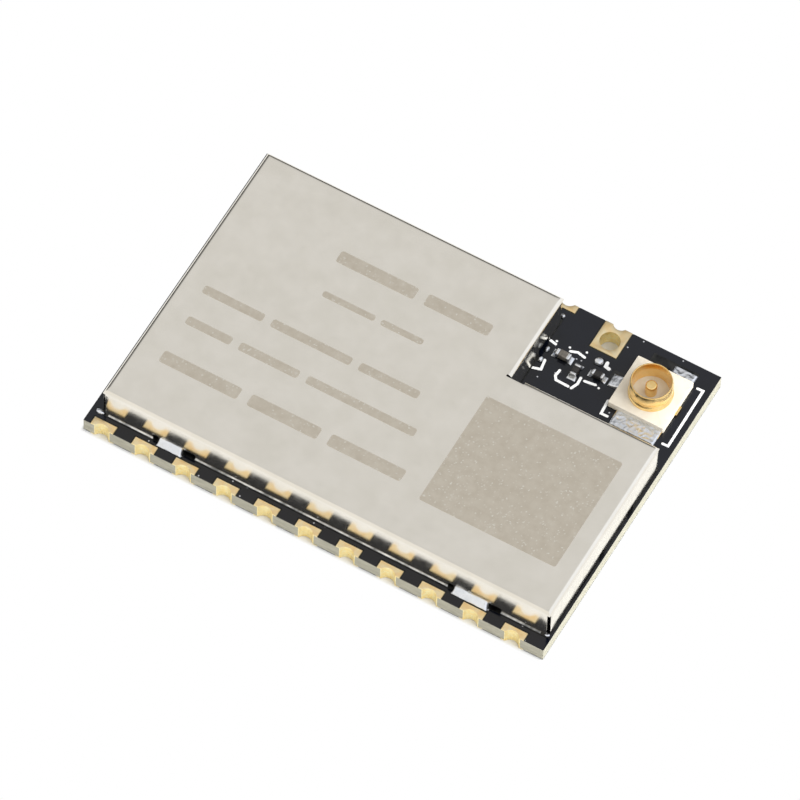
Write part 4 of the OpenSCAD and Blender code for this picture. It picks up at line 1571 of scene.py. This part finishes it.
@dataclass
class AntennaSocket:
    """The micro coaxial socket: insulator, ring, pin, legs and solder."""

    board: Board
    centre: Pair = (9.05, 5.42)
    side: float = 2.7
    height: float = 0.35
    edge_r: float = 0.02
    corner_cut: float = 0.03
    bore_r: float = 0.8
    ring_r: float = 0.96
    rim_h: float = 1.25
    rim_r: float = 0.03
    rim_mid: float = 0.885
    taper_h: float = 0.3
    neck_r: float = 0.9
    # Heights between which the ring is necked
    groove: Pair = (0.47, 0.75)
    flange: float = 0.99
    pin_r: float = 0.26
    pin_h: float = 0.97
    pin_edge: float = 0.09
    strip: float = 0.05
    leg_w: float = 2.2
    leg_shift: float = 0.2
    back_w: float = 1.12
    back_shift: float = 0.74
    leg_reach: float = 0.4
    land_reach: float = 0.25
    tail_w: float = 0.4
    tail_t: float = 0.1
    stub_w: float = 0.5
    stub_t: float = 0.14
    stub_reach: float = 0.1
    stub_shift: float = -0.1
    seat: float = 0.02
    flare: float = 1.6
    tongue_r: float = 0.03
    root: float = 0.1
    tail_root: float = 0.05
    leg_inset: float = 0.1
    # Drop of the flange below the neck, and inset and drop of its broken edge
    shoulder: Triple = (0.05, 0.008, 0.015)
    groove_steps: int = 12
    groove_round: float = 0.8
    taper_steps: int = 6
    rim_steps: int = 10
    pin_steps: int = 6
    ring_turns: int = 128
    pin_turns: int = 64
    # Lengths over which the solder thins at its sides and at its end
    solder_fade: Pair = (0.1, 0.06)
    # Size and height of its folds, then of its finer waves
    crinkle: Pair = (0.24, 0.028)
    fine_crinkle: Pair = (0.1, 0.01)
    cover: float = 0.012
    solder_step: float = 0.03
    solder_rows: int = 24

    def housing(self) -> Piece:
        """Build the square insulator.

        Returns:
            The piece.
        """
        bm = bmesh.new()
        half, cut = self.side / 2, self.corner_cut
        loop = [
            (half, -half + cut), (half, half - cut), (half - cut, half), (-half + cut, half),
            (-half, half - cut), (-half, -half + cut), (-half + cut, -half), (half - cut, -half),
        ]
        slab(bm, [loop], 0.0, self.height, self.edge_r, 3)
        bm.transform(put(*self.centre, self.board.thickness))
        return deliver(bm, "socket_housing", IVORY, Smoothing.PART)

    def ring_profile(self) -> list[Pair]:
        """Radius and height of each point round the ring's wall.

        Returns:
            The points, from the flange's foot.
        """
        low, high = self.groove
        groove = []
        turns = self.groove_steps
        for k in range(turns + 1):
            dip = math.sin(math.pi * k / turns) ** self.groove_round
            groove.append((self.ring_r - (self.ring_r - self.neck_r) * dip, low + (high - low) * k / turns))
        crown = self.rim_h - self.rim_r
        outer, inner = self.rim_mid + self.rim_r, self.rim_mid - self.rim_r
        steps = [k / self.taper_steps for k in range(self.taper_steps)]
        rise = [
            (self.ring_r + (outer - self.ring_r) * s**self.flare, crown + (s - 1.0) * self.taper_h)
            for s in steps
        ]
        fall = [
            (inner + (self.bore_r - inner) * (1.0 - (1.0 - s) ** self.flare), crown - s * self.taper_h)
            for s in steps
        ]
        over = arc((self.rim_mid, crown), self.rim_r, 0.0, 180.0, self.rim_steps)
        foot = self.height - self.seat
        drop, inset, lip = self.shoulder
        shoulder = [(self.flange, foot), (self.flange, low - drop), (self.flange - inset, low - lip)]
        bore = [(self.bore_r, crown - self.taper_h), (self.bore_r, foot)]
        return [*shoulder, *groove, *rise, *over, *fall[1:], *bore]

    def tongue(self, bm: Draft, turn: float, shift: float, size: Triple, root: float) -> None:
        """Add a flat tongue that leaves the insulator's side and lies on the board.

        Args:
            bm: The mesh.
            turn: Turn about the socket's axis, from +X.
            shift: Sideways place of the tongue's middle.
            size: Reach past the insulator, width and thickness.
            root: How far inside the insulator it starts.
        """
        reach, width, thick = size
        half, wide = self.side / 2, width / 2
        low, high = (half - root, shift - wide, 0.0), (half + reach, shift + wide, thick)
        rounded_box(bm, low, high, self.tongue_r, put(*self.centre, self.board.thickness, turn))

    def shell(self) -> Piece:
        """Build the ring with its legs and its stub.

        Returns:
            The piece.
        """
        bm = bmesh.new()
        z = self.board.thickness
        lathe(bm, [(r, h + z) for r, h in self.ring_profile()], self.centre, self.ring_turns)
        back_leg = (self.leg_reach, self.back_w - self.leg_inset, self.strip)
        front_leg = (self.leg_reach, self.leg_w, self.strip)
        stub = (self.stub_reach, self.stub_w, self.stub_t)
        self.tongue(bm, 90.0, -self.back_shift, back_leg, self.root)
        self.tongue(bm, -90.0, self.leg_shift, front_leg, self.root)
        self.tongue(bm, 0.0, self.stub_shift, stub, self.root)
        return deliver(bm, "socket_ring_and_legs", PLATED_GOLD, Smoothing.PART)

    def contact(self) -> Piece:
        """Build the centre pin and the signal tail.

        Returns:
            The piece.
        """
        bm = bmesh.new()
        z = self.board.thickness
        edge = self.pin_edge
        crown = arc((self.pin_r - edge, self.pin_h - edge), edge, 0.0, 90.0, self.pin_steps)
        foot = self.height - self.seat
        profile = [(0.0, foot), (self.pin_r, foot), *crown, (0.0, self.pin_h)]
        lathe(bm, [(r, h + z) for r, h in profile], self.centre, self.pin_turns)
        self.tongue(bm, 180.0, 0.0, (self.leg_reach, self.tail_w, self.tail_t), self.tail_root)
        return deliver(bm, "socket_pin_and_tail", PLATED_GOLD, Smoothing.PART)

    def solder(self) -> Piece:
        """Build the crinkled solder over the legs and the tail.

        Returns:
            The piece.
        """
        bm = bmesh.new()
        z = self.board.thickness
        start = self.side / 2
        reach = self.leg_reach + self.land_reach
        side_fade, end_fade = self.solder_fade
        fold_size, fold_high = self.crinkle
        fine_size, fine_high = self.fine_crinkle
        # Turn, shift, width and reach of each run, its height at the insulator and at its end, its seed
        runs = (
            (-90.0, self.leg_shift, self.leg_w, reach + 0.17, (0.07, 0.13), 11.0),
            (90.0, -self.back_shift, self.back_w, reach - 0.12, (0.14, 0.09), 17.0),
            (180.0, 0.6 * self.leg_shift, 1.75 * self.tail_w, reach - 0.14, (0.2, 0.06), 23.0),
        )
        for turn, shift, width, deep, (near, far), seed in runs:

            def height(u: float, v: float) -> float:
                """Height of the crinkled solder.

                Args:
                    u: Share of the length.
                    v: Share of the reach.

                Returns:
                    The height.
                """
                at = (u * width, v * deep)
                edge = min(1.0, min(u, 1.0 - u) * width / side_fade) * min(1.0, (1.0 - v) * deep / end_fade)
                fold = 1.0 - abs(ripple(*at, fold_size, seed)) * 2.0
                wave = fold_high * fold + fine_high * ripple(*at, fine_size, seed)
                return max(near + (far - near) * v + wave, self.strip + self.cover) * edge**0.5

            where = put(*self.centre, z, turn - 90.0) @ Matrix.Translation((-shift, start, 0.0))
            steps = (max(int(width / self.solder_step), 8), self.solder_rows)
            mound(bm, where, (width, deep), steps, height)
        return deliver(bm, "socket_solder_frozen", SOLDER, Smoothing.BLOB)

    def build(self) -> None:
        """Build the socket's pieces and attach them."""
        attach(self.housing(), "ivory_plastic", "socket_insulator")
        attach(self.shell(), "gold_plating", "socket_ground_shell")
        attach(self.contact(), "gold_plating", "socket_centre_contact")
        attach(self.solder(), "solder", "socket_solder")


@dataclass
class Legend:
    """White outlines printed on the lacquer round the parts in the notch."""

    board: Board
    ink_t: float = 0.014
    end_steps: int = 8
    least_turn: float = 0.5
    # Width and corners of each line
    strokes: tuple[tuple[float, tuple[Pair, ...]], ...] = (
        (0.12, ((4.0, 5.72), (4.29, 5.66))),
        (0.1, ((4.25, 5.82), (4.26, 5.82))),
        (0.1, ((4.89, 5.82), (4.9, 5.82))),
        (0.1, ((5.64, 5.97), (5.65, 5.97))),
        (0.12, ((5.01, 5.67), (5.32, 5.78), (5.68, 5.7))),
        (0.16, ((6.66, 5.95), (6.68, 5.76), (6.86, 5.72))),
        (0.12, ((5.08, 4.6), (5.04, 4.28), (5.17, 4.1), (5.77, 4.08))),
        (0.12, ((6.04, 4.72), (6.06, 4.4), (5.93, 4.07))),
        (0.12, ((6.25, 4.66), (6.75, 4.73))),
        (0.1, ((6.94, 4.66), (6.95, 4.66))),
        (0.12, ((3.99, 4.13), (4.36, 4.24), (4.28, 4.73))),
        (0.12, ((7.59, 4.31), (7.64, 3.61), (7.94, 3.62))),
        (0.115, ((10.6, 6.78), (10.86, 6.79), (10.89, 3.63), (10.63, 3.62))),
    )

    def stroke(self, bm: Draft, width: float, path: Sequence[Pair]) -> None:
        """Add one line of ink with round ends.

        Args:
            bm: The mesh.
            width: The line's width.
            path: Its corners.
        """
        half = width / 2
        points = [Vector(p) for p in path]
        ways = [(b - a).normalized() for a, b in zip(points, points[1:])]
        left, right = [], []
        for k, point in enumerate(points):
            before, after = ways[max(k - 1, 0)], ways[min(k, len(ways) - 1)]
            mean = (before + after).normalized()
            side = Vector((-mean.y, mean.x)) * half / max(mean.dot(after), self.least_turn)
            left.append(tuple(point + side))
            right.append(tuple(point - side))
        first, last = ways[0], ways[-1]
        start = math.degrees(math.atan2(first.y, first.x))
        end = math.degrees(math.atan2(last.y, last.x))
        head = arc(tuple(points[0]), half, start + 90.0, start + 270.0, self.end_steps)[1:-1]
        tail = arc(tuple(points[-1]), half, end - 90.0, end + 90.0, self.end_steps)[1:-1]
        low = self.board.mask_top
        slab(bm, [[*right, *tail, *reversed(left), *head]], low, low + self.ink_t)

    def build(self) -> None:
        """Print the lines and attach them."""
        bm = bmesh.new()
        for width, path in self.strokes:
            self.stroke(bm, width, path)
        attach(deliver(bm, "white_legend", LEGEND, Smoothing.PART), None)


@dataclass
class Studio:
    """Camera, floor, world and lamps."""

    board: Board
    lens_mm: float = 450.0
    sensor_mm: float = 36.0
    camera_mm: Triple = (101.756, -197.222, 364.396)
    right: Triple = (0.86929, 0.49372, 0.02415)
    up: Triple = (-0.43265, 0.73631, 0.52025)
    back: Triple = (0.23907, -0.46269, 0.85367)
    floor_m: float = 0.7
    floor_z_mm: float = -0.02
    floor_colour: str = "#E8E8E7"
    floor_glow: float = 1.0
    seen_shadow_mm: float = 0.16
    mirror_shadow_mm: float = 1.0
    clip_m: Pair = (0.01, 10.0)
    # Height in the room, from 0 at the horizon to 1 overhead, and how bright it is there
    sky: tuple[Pair, ...] = ((0.0, 0.04), (0.3, 0.06), (0.52, 0.2), (0.7, 0.56), (0.82, 0.76), (1.0, 0.7))
    sky_blue: float = 1.01
    # Direction of each bright side, the span over which it fades in, and its light
    sides: tuple[tuple[Triple, Pair, tuple[float, ...]], ...] = (
        ((0.0, -1.0, 0.0), (0.05, 0.45), (0.94, 0.925, 0.9, 1.0)),
        ((1.0, 0.0, 0.0), (0.1, 0.5), (1.02, 1.05, 1.12, 1.0)),
    )
    # Name, place and side in metres, and power in watts of each lamp
    lamps: tuple[tuple[str, Triple, float, float], ...] = (
        ("right_box", (0.42, -0.05, 0.12), 0.3, 2.4),
        ("back_box", (0.5, 0.3, 0.7), 0.8, 4.0),
    )

    def camera(self) -> None:
        """Stand the camera where the picture was taken from."""
        lens = bpy.data.cameras.new("studio_camera")
        lens.lens = self.lens_mm
        lens.sensor_width = self.sensor_mm
        lens.clip_start, lens.clip_end = self.clip_m
        stand = bpy.data.objects.new("studio_camera", lens)
        place = Matrix((self.right, self.up, self.back)).transposed().to_4x4()
        place.translation = Vector(self.camera_mm) * MM
        stand.matrix_world = place
        bpy.context.scene.collection.objects.link(stand)
        bpy.context.scene.camera = stand

    def beside_board(self, tree: Tree, reach_mm: float) -> Socket:
        """Share that is 0 on the floor under the board and grows to full over a reach beside it.

        Args:
            tree: The floor's node tree.
            reach_mm: The reach.

        Returns:
            The socket of the share.
        """
        at = add_node(tree, "ShaderNodeTexCoord").outputs["Object"]
        half = (self.board.length / 2 * MM, self.board.width / 2 * MM, 1.0)
        none = (0.0, 0.0, 0.0)
        across = add_node(tree, "ShaderNodeVectorMath", {0: at}, operation="ABSOLUTE")
        past = add_node(tree, "ShaderNodeVectorMath", {0: across.outputs[0], 1: half}, operation="SUBTRACT")
        beyond = add_node(tree, "ShaderNodeVectorMath", {0: past.outputs[0], 1: none}, operation="MAXIMUM")
        away = add_node(tree, "ShaderNodeVectorMath", {0: beyond.outputs[0]}, operation="LENGTH")
        reach = {
            "Value": away.outputs["Value"],
            "From Min": 0.0,
            "From Max": reach_mm * MM,
            "To Max": self.floor_glow,
        }
        share = add_node(tree, "ShaderNodeMapRange", reach, interpolation_type="SMOOTHSTEP")
        return share.outputs[0]

    def floor(self) -> None:
        """Lay a plain white floor that keeps a soft shadow."""
        bm = bmesh.new()
        bmesh.ops.create_grid(bm, x_segments=8, y_segments=8, size=self.floor_m)
        bmesh.ops.translate(bm, vec=(0.0, 0.0, self.floor_z_mm * MM), verts=bm.verts[:])
        mesh = bpy.data.meshes.new("studio_floor")
        bm.to_mesh(mesh)
        bm.free()
        paper = bpy.data.materials.new("White_paper_sweep")
        paper.use_nodes = True
        tree = paper.node_tree
        tree.nodes.clear()
        rays = add_node(tree, "ShaderNodeLightPath").outputs
        either = {0: rays["Is Glossy Ray"], 1: rays["Is Transmission Ray"]}
        mirrored = add_node(tree, "ShaderNodeMath", either, operation="MAXIMUM")
        close = {0: rays["Is Camera Ray"], 1: self.beside_board(tree, self.seen_shadow_mm)}
        seen = add_node(tree, "ShaderNodeMath", close, operation="MULTIPLY")
        beside = self.beside_board(tree, self.mirror_shadow_mm)
        both = {0: mirrored.outputs[0], 1: beside, 2: seen.outputs[0]}
        share = add_node(tree, "ShaderNodeMath", both, operation="MULTIPLY_ADD")
        matt = add_node(tree, "ShaderNodeBsdfDiffuse", {"Color": linear(self.floor_colour)})
        glow = add_node(tree, "ShaderNodeEmission", {"Color": (1.0, 1.0, 1.0, 1.0), "Strength": 1.0})
        mixed = add_node(
            tree, "ShaderNodeMixShader", {0: share.outputs[0], 1: matt.outputs[0], 2: glow.outputs[0]}
        )
        add_node(tree, "ShaderNodeOutputMaterial", {"Surface": mixed.outputs[0]})
        mesh.materials.append(paper)
        sheet = bpy.data.objects.new("studio_floor", mesh)
        bpy.context.scene.collection.objects.link(sheet)

    def world(self) -> None:
        """Light the room softly: pale overhead, bright at the front and right, dim elsewhere."""
        room = bpy.data.worlds.new("studio_room")
        bpy.context.scene.world = room
        room.use_nodes = True
        tree = room.node_tree
        tree.nodes.clear()
        way = add_node(tree, "ShaderNodeTexCoord").outputs["Generated"]
        height = add_node(tree, "ShaderNodeSeparateXYZ", {0: way}).outputs[2]
        dim = add_node(tree, "ShaderNodeValToRGB", {0: height})
        ramp = dim.color_ramp
        while len(ramp.elements) < len(self.sky):
            ramp.elements.new(0.5)
        for element, (place, level) in zip(ramp.elements, self.sky):
            element.position = place
            element.color = (level, level, level * self.sky_blue, 1.0)
        lit = dim.outputs[0]
        for towards, (near, far), colour in self.sides:
            turned = add_node(tree, "ShaderNodeVectorMath", {0: way, 1: towards}, operation="DOT_PRODUCT")
            reach = {"Value": turned.outputs["Value"], "From Min": near, "From Max": far}
            share = add_node(tree, "ShaderNodeMapRange", reach, interpolation_type="SMOOTHSTEP")
            inputs = {0: share.outputs[0], 6: lit, 7: colour}
            lit = add_node(tree, "ShaderNodeMix", inputs, data_type="RGBA").outputs[2]
        glow = add_node(tree, "ShaderNodeBackground", {"Color": lit, "Strength": 1.0})
        add_node(tree, "ShaderNodeOutputWorld", {"Surface": glow.outputs[0]})

    def lamp(self, name: str, place: Sequence[float], size: float, power: float) -> None:
        """Hang one square soft box that faces the module and doesn't show in metal.

        Args:
            name: Name of the lamp.
            place: Its place in metres.
            size: Side of the box in metres.
            power: Its power in watts.
        """
        box = bpy.data.lights.new(name, "AREA")
        box.shape = "SQUARE"
        box.size = size
        box.energy = power
        stand = bpy.data.objects.new(name, box)
        stand.location = place
        stand.visible_glossy = False
        stand.rotation_euler = (-Vector(place)).to_track_quat("-Z", "Y").to_euler()
        bpy.context.scene.collection.objects.link(stand)

    def build(self) -> None:
        """Set the whole studio up."""
        bpy.context.scene.view_settings.view_transform = "Standard"
        self.camera()
        self.floor()
        self.world()
        for lamp in self.lamps:
            self.lamp(*lamp)


def main() -> None:
    """Build the studio and every sub-assembly."""
    logging.basicConfig(level=logging.INFO, format="%(name)s: %(message)s")
    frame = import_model()
    board = Board()
    Studio(board).build()
    board.dress(frame["nodes"])
    EdgePads(board).build()
    can = ShieldCan()
    can.build()
    EtchedMarks().build()
    ShieldSolder(can).build()
    inductor = ChipPart((4.88, 5.25), 0.0, 0.7, 0.35, 0.3, 0.18)
    capacitors = (
        ChipPart((6.64, 5.14), 0.0, 0.6, 0.3, 0.3, 0.16),
        ChipPart((5.7, 4.84), 90.0, 0.6, 0.3, 0.3, 0.16, fillet_w=1.35),
    )
    NotchParts(board, inductor, capacitors).build()
    AntennaSocket(board).build()
    Legend(board).build()


if __name__ == "__main__":
    main()
